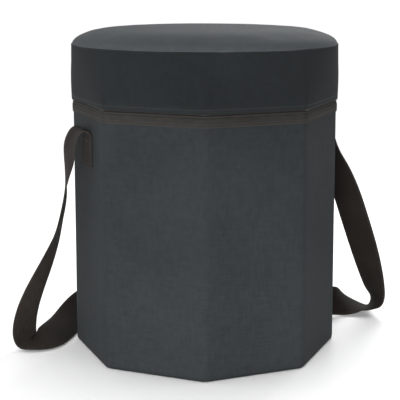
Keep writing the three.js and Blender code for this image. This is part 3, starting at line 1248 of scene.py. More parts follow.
@dataclass
class Seat:
    """The round padded top and its side band, filled out by a cloth simulation."""

    sizes: StoolSizes
    wardrobe: Wardrobe
    columns: int = 192
    band_rows: int = 14
    crown_rows: int = 22
    row_bunching: float = 0.55
    shoulder_power: float = 6.5
    crown_power: float = 2.2
    band_swell: float = 1.3 * MM
    draw_in: float = 3.4 * MM
    fullness: float = 1.1 * MM
    hem_drop: float = 1.0 * MM
    corner_softness: float = 2.2 * MM
    corner_reach: float = math.radians(4.5)
    roll_in: float = 0.994
    roll_drop: float = 0.8 * MM
    gather_height: float = 0.4 * MM
    dent_height: float = 0.35 * MM
    dent_rows: int = 4
    band_thickness: float = 1.4 * MM
    welt_radius: float = 1.25 * MM
    welt_inset: float = 1.0 * MM
    welt_wobble: float = 0.12
    welt_sides: int = 8
    stitch_pitch: float = 4.0 * MM
    stitch_width: float = 0.7 * MM
    hem_wear_and_painted_light: float = 0.25
    hem_rows: int = 4
    seam_wear_and_painted_light: float = 0.45
    seam_rows: int = 3
    welt_wear_and_painted_light: float = 0.3
    pressure: float = 3.0
    cloth_mass: float = 0.25
    stiffness: float = 30.0
    bending: float = 6.0
    seam_hold: float = 0.9
    quality: int = 5
    frames: int = 20
    cap: float = 1.2 * MM
    easing_passes: int = 6

    @property
    def angles(self) -> list[float]:
        """The directions of the cover's columns from the axis."""
        return [step / self.columns * math.tau for step in range(self.columns)]

    @property
    def seam_radius(self) -> float:
        """The seam's distance from the axis, drawn in a little by its stitches."""
        return self.sizes.lid_radius - self.draw_in

    def hem_radius(self, angle: float) -> float:
        """The hem's distance from the axis, in a direction.

        Args:
            angle: The direction, in radians from +X.
        Returns:
            The distance: straight along each wall, with softened corners.
        """
        from_wall = angle - round(angle / WALL_TURN) * WALL_TURN
        from_corner = WALL_TURN / 2 - abs(from_wall)
        straight = self.sizes.lid_radius * HALF_COS / math.cos(from_wall)
        return straight - self.corner_softness * math.exp(-((from_corner / self.corner_reach) ** 2))

    def band_place(self, angle: float, share: float) -> Vector:
        """A point of the band before it is filled out.

        Args:
            angle: Its direction from the axis.
            share: How far up it is, from the hem, 0, to the seam, 1.
        Returns:
            The point.
        """
        radius = mix(self.hem_radius(angle), self.seam_radius, share)
        radius += self.band_swell * math.sin(math.pi * share)
        place = level_direction(angle) * radius
        place.z = mix(self.sizes.hem - self.hem_drop, self.sizes.seam, share)
        return place

    def crown_place(self, angle: float, share: float) -> Vector:
        """A point of the top before it is filled out.

        Args:
            angle: Its direction from the axis.
            share: How far in it is, from the seam, 0, to the middle, 1.
        Returns:
            The point.
        """
        sweep_angle = share * math.pi / 2
        across = self.seam_radius * math.cos(sweep_angle) ** (2.0 / self.shoulder_power)
        crown = self.sizes.seat_top - self.sizes.seam + self.fullness
        up = crown * math.sin(sweep_angle) ** (2.0 / self.crown_power)
        place = level_direction(angle) * across
        place.z = self.sizes.seam + up
        return place

    def rows(self) -> Rows:
        """The cover's rows of points, from the hem to just short of the middle."""
        angles = self.angles
        heights = spread(0.0, 1.0, self.band_rows)
        shares = [1.0 - (1.0 - share) ** self.row_bunching for share in spread(0.0, 1.0, self.crown_rows)]
        band = [[self.band_place(angle, height) for angle in angles] for height in heights]
        crown = [[self.crown_place(angle, share) for angle in angles] for share in shares[1:-1]]
        return band + crown

    def trial(self, rows: Rows) -> Piece:
        """Makes a closed copy of the cover, ready to be filled out.

        Args:
            rows: The cover's points.
        Returns:
            The copy, pinned at its hem and in the middle of its underside, and held at its seam.
        """
        count = self.columns
        points = [place for row in rows for place in row]
        floor_point, top_point = len(points), len(points) + 1
        points += [Vector((0.0, 0.0, self.sizes.hem)), Vector((0.0, 0.0, rows[-1][0].z))]
        last = (len(rows) - 1) * count
        faces = []
        for low in range(0, last, count):
            high = low + count
            for j in range(count):
                k = (j + 1) % count
                faces.append((low + j, low + k, high + k, high + j))
        for j in range(count):
            k = (j + 1) % count
            faces += [(floor_point, k, j), (top_point, last + j, last + k)]
        mesh = bpy.data.meshes.new("seat_cover_trial")
        mesh.from_pydata([tuple(place) for place in points], [], faces)
        trial = hang("seat_cover_trial", mesh)
        pins = trial.vertex_groups.new(name="pins")
        pins.add([*range(count), floor_point], 1.0, "REPLACE")
        pins.add(range(self.band_rows * count, (self.band_rows + 1) * count), self.seam_hold, "REPLACE")
        cloth = trial.modifiers.new("filling", "CLOTH")
        cloth.settings.quality = self.quality
        cloth.settings.mass = self.cloth_mass
        cloth.settings.tension_stiffness = self.stiffness
        cloth.settings.compression_stiffness = self.stiffness
        cloth.settings.bending_stiffness = self.bending
        cloth.settings.use_pressure = True
        cloth.settings.uniform_pressure_force = self.pressure
        cloth.settings.vertex_group_mass = pins.name
        cloth.settings.effector_weights.gravity = 0.0
        cloth.collision_settings.use_collision = False
        cloth.point_cache.frame_end = self.frames
        return trial

    def filled(self, rows: Rows) -> Rows:
        """Fills the cover out with a cloth simulation.

        Args:
            rows: The cover's points before.
        Returns:
            The points after, each moved by no more than the cap.
        """
        trial = self.trial(rows)
        mesh, scene = trial.data, bpy.context.scene
        for step in range(1, self.frames + 1):
            scene.frame_set(step)
        settled = trial.evaluated_get(bpy.context.evaluated_depsgraph_get()).to_mesh()
        points = [place for row in rows for place in row]
        motions = []
        for before, vertex in zip(points, settled.vertices):
            motion = vertex.co - before
            motions.append(motion * min(1.0, self.cap / max(motion.length, TINY)))
        scene.frame_set(1)
        bpy.data.objects.remove(trial)
        bpy.data.meshes.remove(mesh)
        log.info("filled the seat cover out over %d frames", self.frames)
        moved = [before + motion for before, motion in zip(points, self.eased(motions))]
        return [moved[first:first + self.columns] for first in range(0, len(moved), self.columns)]

    def eased(self, motions: list[Vector]) -> list[Vector]:
        """Evens out the motions of neighbouring points, as thick foam under the cloth does.

        Args:
            motions: The motion of each point, row by row.
        Returns:
            The motions, with the rows at the hem and at the seam as they were.
        """
        count = self.columns
        last = len(motions) // count - 1
        for _ in range(self.easing_passes):
            before = [motion.copy() for motion in motions]
            for i in range(1, last):
                if i == self.band_rows:
                    continue
                for j in range(count):
                    beside = before[i * count + (j - 1) % count] + before[i * count + (j + 1) % count]
                    along = before[(i - 1) * count + j] + before[(i + 1) * count + j]
                    motions[i * count + j] = (beside + along + 2.0 * before[i * count + j]) / 6.0
        return motions

    def ruffled(self, rows: Rows) -> Rows:
        """Adds the sewing's small gathers beside the seam, and shallow dents.

        Args:
            rows: The cover's points.
        Returns:
            The points with gathers and dents.
        """
        result = []
        for i, row in enumerate(rows):
            from_seam = i - self.band_rows
            gathers = math.exp(-((abs(from_seam) - 1.4) ** 2) / 3.0) if from_seam else 0.0
            dents = min(abs(from_seam) / self.dent_rows, 1.0) if i else 0.0
            changed = []
            for angle, place in zip(self.angles, row):
                out = outward(place) if from_seam < 0 else UP
                pucker = math.sin(37 * angle + 1.3 * math.sin(5 * angle))
                pucker *= noise.noise(Vector((9 * angle, 0.5, 0.0)))
                lift = self.gather_height * gathers * pucker
                lift += self.dent_height * dents * noise.noise(place * 14.0)
                changed.append(place + out * lift)
            result.append(changed)
        return result

    def cushion(self, crown: Rows) -> None:
        """Makes the top: a closed crowned form that holds the foam.

        Args:
            crown: Rows of points from the seam to the middle.
        """
        sketch = Sketch()
        sizes = self.sizes
        low = sizes.core_top + 0.35 * MM
        inset = 1.0 - (self.band_thickness + 0.5 * MM) / sizes.lid_radius
        under = []
        for height in (low, mix(low, sizes.seam, 0.5), sizes.seam - 2.0 * MM):
            share = (height - sizes.hem) / (sizes.seam - sizes.hem)
            ring = [self.band_place(angle, share) for angle in self.angles]
            under.append([Vector((place.x * inset, place.y * inset, height)) for place in ring])
        roll = self.roll_in
        rolled = [Vector((place.x * roll, place.y * roll, place.z - self.roll_drop)) for place in crown[0]]
        worn_rows = range(len(under), len(under) + self.seam_rows)
        rows = []
        for i, row in enumerate([*under, rolled, *crown]):
            wear_and_painted_light = self.seam_wear_and_painted_light if i in worn_rows else 0.0
            rows.append([sketch.point(place, (place.x, place.y), wear_and_painted_light) for place in row])
        sketch.skin(rows, round_columns=True)
        sketch.fan(Vector((0.0, 0.0, low)), rows[0])
        sketch.fan(Vector((0.0, 0.0, crown[-1][0].z)), rows[-1])
        piece = sketch.build("seat_cushion", [self.wardrobe.seat], sharp=60.0)
        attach(piece, "lid")
        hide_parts("seat_top", "seat_foam")

    def band(self, rows: Rows) -> None:
        """Makes the side band, with its hem turned in and sewn.

        Args:
            rows: Rows of points from the hem to the seam.
        """
        sketch = Sketch()
        thick, hem, seam = self.band_thickness, rows[0], rows[-1]
        outside = [drawn_in(hem, 0.35 * MM, 0.25 * MM), drawn_in(hem, 0.0, 0.9 * MM)]
        outside += [drawn_in(hem, -0.25 * MM, 2.4 * MM), *rows[1:-1], drawn_in(seam, 0.1 * MM, -0.3 * MM)]
        inside = [drawn_in(seam, thick, -0.3 * MM), *(drawn_in(row, thick, 0.0) for row in rows[-2:0:-1])]
        inside += [drawn_in(hem, thick + 0.2 * MM, 2.4 * MM), drawn_in(hem, thick, 0.3 * MM)]
        loop = outside + inside
        new_rows = range(self.hem_rows, len(loop) - self.hem_rows)
        length = math.tau * self.sizes.lid_radius
        runs = [length * j / self.columns for j in range(self.columns)]
        numbers = []
        for i, row in enumerate(loop):
            wear_and_painted_light = 0.0 if i in new_rows else self.hem_wear_and_painted_light
            numbers.append([sketch.point(place, (run, place.z), wear_and_painted_light) for run, place in zip(runs, row)])
        sketch.skin(numbers, round_rows=True, round_columns=True)
        self.sew_hem(sketch, rows[1])
        piece = sketch.build("seat_side_band", [self.wardrobe.band, self.wardrobe.thread], sharp=55.0)
        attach(piece, "lid")
        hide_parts("seat_band")

    def sew_hem(self, sketch: Sketch, row: Sequence[Vector]) -> None:
        """Adds a row of stitches along the band, just over its hem.

        Args:
            sketch: The band.
            row: The row of points that the stitches follow.
        """
        count = round(math.tau * self.sizes.lid_radius / self.stitch_pitch)
        holes = []
        for hole in range(count + 1):
            at = hole / count * self.columns
            j = int(at) % self.columns
            place = row[j].lerp(row[(j + 1) % self.columns], at - int(at))
            out = outward(place)
            holes.append((place + out * 0.1 * MM, out))
        sketch.stitches(holes, self.stitch_width)

    def welt(self, seam: Sequence[Vector]) -> None:
        """Makes the rolled seam between the band and the top.

        Args:
            seam: The seam's points.
        """
        sketch = Sketch()
        rows = []
        for angle, place in zip(self.angles, seam):
            out = outward(place)
            centre = place - out * self.welt_inset
            radius = self.welt_radius * (1.0 + self.welt_wobble * noise.noise(place * 60.0))
            ring = []
            for turn in spread(0.0, math.tau, self.welt_sides)[:-1]:
                spot = centre + (out * math.cos(turn) + UP * math.sin(turn)) * radius
                weave = (place.length * angle, turn * self.welt_radius)
                ring.append(sketch.point(spot, weave, self.welt_wear_and_painted_light))
            rows.append(ring)
        sketch.skin(rows, round_rows=True, round_columns=True)
        piece = sketch.build("seat_seam_welt", [self.wardrobe.band])
        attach(piece, "lid")

    def build(self) -> None:
        """Makes the cushion, the band and the rolled seam."""
        rows = self.rows()
        rows = self.filled(rows)
        rows = self.ruffled(rows)
        self.cushion(rows[self.band_rows:])
        self.band(rows[:self.band_rows + 1])
        self.welt(rows[self.band_rows])


@dataclass
class LidUnderside:
    """The lid's silver underside, the tape round its core and the stiff board inside."""

    sizes: StoolSizes
    wardrobe: Wardrobe
    rounding: float = 4.0 * MM

    def lining(self) -> None:
        """Makes the silver underside."""
        sketch = Sketch()
        low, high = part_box("lid_lining")
        outline = Outline(self.sizes.lid_core, self.rounding)
        octagon_pad(sketch, outline, low.z + 0.02 * MM, high.z, 0.4 * MM,
                    lambda place: -0.12 * abs(film_relief(place)))
        piece = sketch.build("lid_lining_film", [self.wardrobe.foil])
        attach(piece, "lid")
        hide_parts("lid_lining", "lid_insulation")

    def tape(self) -> None:
        """Makes the cloth tape round the lid's core."""
        sketch = Sketch()
        outer, inner = self.sizes.tape, self.sizes.lid_core + 0.2 * MM
        outline = Outline(outer, self.rounding)
        low, high = self.sizes.lid_low + 0.05 * MM, self.sizes.core_top
        foot = low + 0.3 * MM
        section = [Edge(outer, height, 0.15) for height in spread(foot, high, 4)]
        section += [Edge(inner, high), Edge(inner, foot), Edge(mix(inner, outer, 0.5), low)]
        sweep(sketch, outline, outline.stations(0, WALLS, 6, 3)[:-1], section, cloth_relief, is_ring=True)
        piece = sketch.build("lid_core_tape", [self.wardrobe.zip])
        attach(piece, "lid")
        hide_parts("lid_zip_tape")

    def build(self) -> None:
        """Makes the underside and the tape, and gives every board its finish."""
        self.lining()
        self.tape()
        for node in ["lid_board", *(f"{wall.body}_board" for wall in Wall)]:
            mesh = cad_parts[node].data
            mesh.materials.clear()
            mesh.materials.append(self.wardrobe.board)


@dataclass
class LidZip:
    """The zip on the lid: its coil, its slider and its pull."""

    sizes: StoolSizes
    wardrobe: Wardrobe
    coil_radius: float = 0.9 * MM
    coil_inset: float = 1.2 * MM
    coil_rounding: float = 3.0 * MM
    wire: float = 0.3 * MM
    wire_width: float = 0.7
    turn_pitch: float = 2.0 * MM
    turn_steps: int = 6
    slider_half: float = 5.5 * MM
    slider_depth: float = 4.2 * MM
    pull_reach: float = 19.0 * MM
    pull_half: float = 3.0 * MM
    pull_waist: float = 0.78
    rim_angle: float = 0.9

    def coil(self) -> None:
        """Makes the coil, wound along every wall but the back one."""
        sketch = Sketch()
        low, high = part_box("zip_coil")
        outline = Outline(self.sizes.coil - self.coil_inset, self.coil_rounding)
        first, last = Wall.BACK.value + 0.5, Wall.BACK.value + WALLS - 0.5
        turns = round((last - first) * outline.side / self.turn_pitch)
        reach = self.wire * self.wire_width
        rows = []
        for step, station in enumerate(spread(first, last, turns * self.turn_steps)):
            place, out = outline.place(station)
            place.z = (low.z + high.z) / 2
            turn = step / self.turn_steps * math.tau
            spoke = out * math.cos(turn) + UP * math.sin(turn)
            along = UP.cross(out)
            corners = (spoke + along, spoke - along, -spoke - along, along - spoke)
            centre = place + spoke * (self.coil_radius - self.wire / 2)
            rows.append([sketch.point(centre + corner * reach) for corner in corners])
        sketch.tube(rows)
        piece = sketch.build("zip_coil_winding", [self.wardrobe.coil], sharp=100.0)
        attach(piece, "lid")
        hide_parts("zip_coil")

    def plate(
        self,
        name: str,
        loops: Sequence[Sequence[Pair]],
        base: Vector,
        along: Vector,
        out: Vector,
        depth: float,
        bevel: float,
    ) -> Piece:
        """Makes a metal plate with rounded edges.

        Args:
            name: The piece's name.
            loops: Its outline and those of its holes, along and up.
            base: Where its outline's origin lies.
            along: Which way its length runs.
            out: Which way it faces.
            depth: Its thickness.
            bevel: The rounding of its edges.
        Returns:
            The piece.
        """
        work = bmesh.new()
        edges = []
        for loop in loops:
            made = [work.verts.new(base + along * a + UP * b) for a, b in loop]
            edges += [work.edges.new((made[i], made[(i + 1) % len(made)])) for i in range(len(made))]
        bmesh.ops.triangle_fill(work, use_beauty=True, use_dissolve=True, edges=edges)
        lifted = bmesh.ops.extrude_face_region(work, geom=work.faces[:])["geom"]
        corners = [part for part in lifted if isinstance(part, bmesh.types.BMVert)]
        bmesh.ops.translate(work, vec=out * depth, verts=corners)
        bmesh.ops.recalc_face_normals(work, faces=work.faces)
        rim = [edge for edge in work.edges if edge.is_manifold and edge.calc_face_angle() > self.rim_angle]
        bmesh.ops.bevel(work, geom=rim, offset=bevel, segments=2, profile=0.6, affect="EDGES")
        mesh = bpy.data.meshes.new(name)
        work.to_mesh(mesh)
        work.free()
        mesh.materials.append(self.wardrobe.metal)
        piece = smoothed(name, mesh, sharp=50.0)
        return piece

    def slider(self) -> None:
        """Makes the slider on its corner, with a bridge over its face, and the pull on the bridge."""
        low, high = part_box("zip_slider")
        out = level_direction((Wall.BACK.value + 0.5) * WALL_TURN)
        along = UP.cross(out)
        middle = (low + high) / 2
        half_height = (high.z - low.z) / 2
        depth = self.slider_depth
        base = out * (middle.dot(out) - depth / 2)
        base.z = middle.z
        shield = []
        for turn in spread(0.0, math.tau, 28)[:-1]:
            rise = math.sin(turn)
            shield.append((self.slider_half * math.cos(turn) * (1.0 - 0.16 * rise**2),
                           half_height * math.copysign(abs(rise) ** 0.6, rise)))
        body = self.plate("zip_slider_body", [shield], base, along, out, depth * 0.62, 0.5 * MM)
        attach(body, "zip_slider")
        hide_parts("zip_slider")
        bridge = [(a * MM, b * MM) for a, b in ((-3.2, -0.9), (4.6, -0.9), (4.6, 0.9), (-3.2, 0.9))]
        lifted = base + out * (depth * 0.6)
        arch = self.plate("zip_slider_bridge", [bridge], lifted, along, out, depth * 0.4, 0.35 * MM)
        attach(arch, "zip_slider")
        self.pull(base + out * (depth + 0.4 * MM) + along * self.slider_half)

    def pull(self, eye: Vector) -> None:
        """Makes the pull, which lies along the back left wall.

        Args:
            eye: The middle of the pull's eye, at its back.
        """
        wall = Wall.BACK_LEFT.facing
        along = UP.cross(wall)
        reach, half = self.pull_reach, self.pull_half
        waist = half * self.pull_waist
        quarter = math.pi / 2
        outline = arc((half, half), quarter, 3 * quarter, 10) + [(reach / 2, -waist)]
        outline += arc((half, half), 3 * quarter, 5 * quarter, 10, reach) + [(reach / 2, waist)]
        ring = arc((1.4 * MM, 1.4 * MM), 0.0, math.tau, 16)[:-1]
        slot = arc((4.2 * MM, 1.1 * MM), 0.0, math.tau, 16, reach * 0.72)[:-1]
        tab = self.plate("zip_pull_tab", [outline, ring, slot], eye, along, wall, 1.5 * MM, 0.3 * MM)
        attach(tab, "zip_pull")
        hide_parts("zip_pull")

    def build(self) -> None:
        """Makes the coil, the slider and the pull."""
        self.coil()
        self.slider()


@dataclass
class ClothHinge:
    """The cloth between the back wall and the lid."""

    sizes: StoolSizes
    wardrobe: Wardrobe
    thickness: float = 0.8 * MM
    columns: int = 40
    ripple_height: float = 0.25 * MM
    stitch_width: float = 0.7 * MM
    stitch_count: int = 24
    stitch_margin: float = 2.0 * MM
    wear_and_painted_light: float = 0.15

    def build(self) -> None:
        """Makes the strip, sewn along both edges."""
        low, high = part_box("lid_hinge_flap")
        sizes = self.sizes
        face, hem = sizes.strip, sizes.lid_radius * HALF_COS
        slope = (sizes.lid_radius - hem) / (sizes.seam - sizes.hem)
        foot, head = sizes.wall_top + 2.4 * MM, high.z - 1.0 * MM
        profile = [(face + 0.4 * MM, foot), (face + 0.75 * MM, mix(foot, sizes.strip_top, 0.6))]
        profile += [(face + 0.9 * MM, sizes.strip_top), (hem + 0.9 * MM, sizes.hem)]
        profile += [(hem + 0.8 * MM + slope * (height - sizes.hem), height)
                    for height in spread(sizes.hem + 2.5 * MM, head, 4)]
        outside = [(out + self.thickness, height) for out, height in profile]
        sketch = Sketch()
        rows = []
        for out, height in outside + profile[::-1]:
            row = []
            for across in spread(low.x, high.x, self.columns):
                ripple = self.ripple_height * noise.noise(Vector((across * 60.0, height * 90.0, 1.0)))
                row.append(sketch.point(Vector((across, out + ripple, height)), (across, height), self.wear_and_painted_light))
            rows.append(row)
        sketch.skin(rows, round_rows=True)
        sketch.face([row[0] for row in rows])
        sketch.face([row[-1] for row in rows[::-1]])
        margin = self.stitch_margin
        for (out, height), lift in ((outside[0], margin), (outside[-1], -margin)):
            holes = [(Vector((across, out + 0.25 * MM, height + lift)), Wall.BACK.facing)
                     for across in spread(low.x + margin, high.x - margin, self.stitch_count)]
            sketch.stitches(holes, self.stitch_width)
        piece = sketch.build("lid_cloth_hinge", [self.wardrobe.band, self.wardrobe.thread])
        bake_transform(piece)
        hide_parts("lid_hinge_flap")


# The strap's route, as points of its two edges: the edge nearer the front or the floor,
# then the edge nearer the back or the top.
STRAP_ROUTE: list[tuple[Triple, Triple]] = [
    ((-0.1514, -0.019, 0.2675), (-0.1514, 0.019, 0.2675)),
    ((-0.1522, -0.019, 0.2715), (-0.1522, 0.019, 0.2715)),
    ((-0.1575, -0.0185, 0.2745), (-0.1575, 0.0195, 0.2745)),
    ((-0.1635, -0.016, 0.27), (-0.1645, 0.022, 0.27)),
    ((-0.1675, -0.0095, 0.256), (-0.1695, 0.0285, 0.255)),
    ((-0.1685, -0.0025, 0.239), (-0.1695, 0.0355, 0.236)),
    ((-0.174, 0.005, 0.216), (-0.1665, 0.041, 0.21)),
    ((-0.1775, 0.013, 0.186), (-0.1645, 0.046, 0.182)),
    ((-0.182, 0.022, 0.156), (-0.1695, 0.0555, 0.146)),
    ((-0.1895, 0.0285, 0.135), (-0.173, 0.061, 0.123)),
    ((-0.2025, 0.039, 0.105), (-0.18, 0.067, 0.093)),
    ((-0.218, 0.046, 0.075), (-0.1885, 0.07, 0.065)),
    ((-0.23, 0.0486, 0.046), (-0.197, 0.069, 0.039)),
    ((-0.2345, 0.047, 0.02), (-0.2015, 0.064, 0.015)),
    ((-0.23, 0.041, 0.0065), (-0.2, 0.06, 0.007)),
    ((-0.213, 0.031, 0.0024), (-0.197, 0.061, 0.011)),
    ((-0.184, 0.031, 0.0022), (-0.195, 0.0625, 0.019)),
    ((-0.1625, 0.052, 0.002), (-0.1845, 0.0745, 0.022)),
    ((-0.1465, 0.0735, 0.0022), (-0.169, 0.095, 0.024)),
    ((-0.1325, 0.096, 0.005), (-0.1495, 0.112, 0.035)),
    ((-0.116, 0.1175, 0.009), (-0.126, 0.127, 0.0445)),
    ((-0.093, 0.136, 0.007), (-0.097, 0.1395, 0.0445)),
    ((-0.072, 0.146, 0.0015), (-0.0705, 0.1495, 0.039)),
    ((-0.05, 0.155, 0.0014), (-0.049, 0.156, 0.039)),
    ((0.0, 0.154, 0.0014), (0.0, 0.154, 0.0394)),
    ((0.05, 0.155, 0.0014), (0.049, 0.156, 0.039)),
    ((0.072, 0.146, 0.0014), (0.0705, 0.1495, 0.039)),
    ((0.11, 0.1075, 0.0014), (0.11, 0.1075, 0.0394)),
    ((0.149, 0.071, 0.0014), (0.148, 0.073, 0.039)),
    ((0.158, 0.05, 0.0014), (0.158, 0.052, 0.039)),
    ((0.165, 0.022, 0.0014), (0.168, 0.03, 0.0385)),
    ((0.193, 0.016, 0.0035), (0.197, 0.025, 0.0405)),
    ((0.211, 0.01, 0.0045), (0.223, 0.041, 0.0225)),
    ((0.228, 0.005, 0.006), (0.2395, 0.0405, 0.011)),
    ((0.241, -0.0035, 0.011), (0.2515, 0.0325, 0.004)),
    ((0.253, -0.008, 0.022), (0.256, 0.0295, 0.013)),
    ((0.253, -0.013, 0.049), (0.24, 0.023, 0.044)),
    ((0.242, -0.014, 0.096), (0.217, 0.0155, 0.092)),
    ((0.2265, -0.017, 0.139), (0.2015, 0.0125, 0.128)),
    ((0.211, -0.019, 0.176), (0.187, 0.011, 0.168)),
    ((0.193, -0.02, 0.209), (0.1765, 0.013, 0.202)),
    ((0.177, -0.0205, 0.232), (0.1685, 0.015, 0.229)),
    ((0.1695, -0.02, 0.252), (0.167, 0.0175, 0.251)),
    ((0.165, -0.0195, 0.266), (0.1645, 0.0185, 0.266)),
    ((0.159, -0.019, 0.274), (0.159, 0.019, 0.274)),
    ((0.1522, -0.019, 0.2715), (0.1522, 0.019, 0.2715)),
    ((0.1514, -0.019, 0.2675), (0.1514, 0.019, 0.2675)),
]


def smooth_curve(points: Sequence[Vector], steps: int) -> list[Vector]:
    """A smooth curve through points, evenly many steps from each to the next.

    Args:
        points: The points that it passes through.
        steps: Steps between neighbours.
    Returns:
        The curve's points.
    """
    ends = [2.0 * points[0] - points[1], *points, 2.0 * points[-1] - points[-2]]
    curve = []
    for before, start, end, after in zip(ends, ends[1:], ends[2:], ends[3:]):
        pairs = ((before, start), (start, end), (end, after))
        first, span, last = (math.sqrt(max((b - a).length, TINY)) for a, b in pairs)
        leaving = (start - before) / first - (end - before) / (first + span) + (end - start) / span
        arriving = (end - start) / span - (after - start) / (span + last) + (after - end) / last
        leaving, arriving = leaving * span, arriving * span
        for step in range(steps):
            t = step / steps
            curve.append(
                start * (2 * t**3 - 3 * t**2 + 1)
                + leaving * (t**3 - 2 * t**2 + t)
                + end * (3 * t**2 - 2 * t**3)
                + arriving * (t**3 - t**2)
            )
    curve.append(points[-1].copy())
    return curve


@dataclass(frozen=True)
class StrapStretch:
    """A stretch of the strap between two walls."""

    name: str
    first: Wall
    second: Wall
    last_station: int
    start: Triple
    end: Triple


@dataclass
class CarryStrap:
    """The webbing strap, from its sewn end on the left wall round the back to the right wall."""

    sizes: StoolSizes
    wardrobe: Wardrobe
    width: float = 38.0 * MM
    thickness: float = 2.0 * MM
    steps: int = 8
    columns: int = 10
    easing_passes: int = 10
    thin_edge: Pair = (0.47, 0.55)
    worn_and_painted_light_edge: Pair = (0.44, 0.6)
    # Painted light: the middle of the left leg is painted paler, standing in for the light that falls on it.
    painted_light: float = 1.4
    rubbed_at: float = 0.205
    painted_light_reach: float = 0.085
    lip_thinness: float = 0.7
    lip_wear_and_painted_light: float = 0.7
    stitch_pitch: float = 3.6 * MM
    stitch_width: float = 0.8 * MM
    stretches: tuple[StrapStretch, ...] = (
        StrapStretch("strap_left", Wall.LEFT, Wall.BACK_LEFT, 20,
                     (-0.1676, 0.0543, 0.0), (-0.138, 0.0931, 0.0)),
        StrapStretch("strap_back_left", Wall.BACK_LEFT, Wall.BACK, 24,
                     (-0.0756, 0.1442, 0.0), (-0.0502, 0.1547, 0.0)),
        StrapStretch("strap_back_right", Wall.BACK, Wall.BACK_RIGHT, 27,
                     (0.0502, 0.1547, 0.0), (0.0756, 0.1442, 0.0)),
        StrapStretch("strap_right", Wall.BACK_RIGHT, Wall.RIGHT, 46,
                     (0.149, 0.072, 0.0), (0.168, 0.026, 0.0)),
    )

    def course(self) -> tuple[list[Vector], list[Vector]]:
        """The strap's middle line and its crosswise directions, eased along the route.

        Returns:
            The middle points and the unit directions from its near to its far edge.
        """
        edges = [smooth_curve([Vector(pair[side]) for pair in STRAP_ROUTE], self.steps) for side in (0, 1)]
        middle = [(near + far) / 2 for near, far in zip(*edges)]
        across = [(far - near).normalized() for near, far in zip(*edges)]
        for _ in range(self.easing_passes):
            for line, is_direction in ((middle, False), (across, True)):
                eased = [(a + 2.0 * b + c) / 4.0 for a, b, c in zip(line, line[1:], line[2:])]
                line[1:-1] = [step.normalized() for step in eased] if is_direction else eased
        return middle, across

    def profile(self) -> list[Triple]:
        """The webbing's cross-section: place across, place through, and how scuffed its edges are, all the
        way round.
        """
        (thin_from, thinness), (worn_from, wear_and_painted_light) = self.thin_edge, self.worn_and_painted_light_edge
        front = []
        for place in spread(-0.5, 0.5, self.columns):
            half = (1.0 if abs(place) < thin_from else thinness) * self.thickness / 2
            front.append((place * self.width, half, 0.0 if abs(place) < worn_from else wear_and_painted_light))
        return front + [(place, -half, worn_and_painted_light) for place, half, worn_and_painted_light in front[::-1]]

    def painted_light_along(self, run: float) -> float:
        """How much painted light pales the webbing at a length along the strap: most in the middle of its
        left leg.
        """
        return self.painted_light * math.exp(-(((run - self.rubbed_at) / self.painted_light_reach) ** 2))

    def stretch(
        self, name: str, middle: Sequence[Vector], across: Sequence[Vector], start_run: float
    ) -> tuple[Piece, float]:
        """Makes one stretch of webbing.

        Args:
            name: The piece's name.
            middle: Its middle line.
            across: Its crosswise directions.
            start_run: The strap's length before it.
        Returns:
            The piece and its length.
        """
        sketch = Sketch()
        profile = self.profile()
        rows = []
        run = 0.0
        for i, (place, side) in enumerate(zip(middle, across)):
            along = (middle[min(i + 1, len(middle) - 1)] - middle[max(i - 1, 0)]).normalized()
            level = (side - along * side.dot(along)).normalized()
            out = along.cross(level)
            if i:
                run += (place - middle[i - 1]).length
            # painted light on the left leg, added to the scuffed edges
            rubbed = self.painted_light_along(start_run + run)
            rows.append([
                sketch.point(place + level * a + out * b, (a, start_run + run), max(wear_and_painted_light, rubbed))
                for a, b, wear_and_painted_light in profile
            ])
        sketch.tube(rows)
        return sketch.build(name, [self.wardrobe.webbing], sharp=60.0), run

    def sewn_end(self, wall: Wall) -> None:
        """Makes the end that is sewn flat on a wall, boxed and crossed with stitches.

        Args:
            wall: The wall.
        """
        low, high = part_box(f"strap_sewn_end_{wall.body}")
        out = wall.facing
        along = UP.cross(out)
        back = min(abs(low.x), abs(high.x))
        bottom, top = low.z, high.z + 0.4 * MM
        sketch = Sketch()
        rows = []
        for height in [bottom, *spread(bottom + 0.5 * MM, top - 0.2 * MM, 16), top]:
            is_lip = height == bottom
            lip = self.lip_thinness if is_lip else 1.0
            row = []
            for a, b, wear_and_painted_light in self.profile():
                through = (b + self.thickness / 2) * lip + 0.05 * MM
                place = out * (back + through) + along * a + UP * height
                row.append(sketch.point(place, (a, height), self.lip_wear_and_painted_light if is_lip else wear_and_painted_light))
            rows.append(row)
        sketch.tube(rows)
        half, low_row, high_row = self.width / 2 - 4.0 * MM, bottom + 4.0 * MM, top - 6.0 * MM
        corners = [(-half, low_row), (half, low_row), (half, high_row), (-half, high_row), (-half, low_row)]
        lines = list(zip(corners, corners[1:])) + [(corners[0], corners[2]), (corners[1], corners[3])]
        face = out * (back + self.thickness + 0.1 * MM)
        for (a0, z0), (a1, z1) in lines:
            count = max(round(math.hypot(a1 - a0, z1 - z0) / self.stitch_pitch), 2)
            holes = [(face + along * mix(a0, a1, share) + UP * mix(z0, z1, share), out)
                     for share in spread(0.0, 1.0, count)]
            sketch.stitches(holes, self.stitch_width, share=0.75)
        finishes = [self.wardrobe.webbing, self.wardrobe.thread]
        piece = sketch.build(f"strap_end_{wall.body}", finishes, sharp=60.0)
        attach(piece, wall.body)
        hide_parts(f"strap_sewn_end_{wall.body}")

    def build(self) -> None:
        """Makes the sewn ends and the four stretches of the strap."""
        for wall in (Wall.LEFT, Wall.RIGHT):
            self.sewn_end(wall)
        middle, across = self.course()
        first, run = 0, 0.0
        for stretch in self.stretches:
            last = stretch.last_station * self.steps
            piece, length = self.stretch(stretch.name, middle[first:last + 1], across[first:last + 1], run)
            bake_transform(piece)
            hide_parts("strap")
            first, run = last, run + length
        log.info("strap length %.3f m", run)


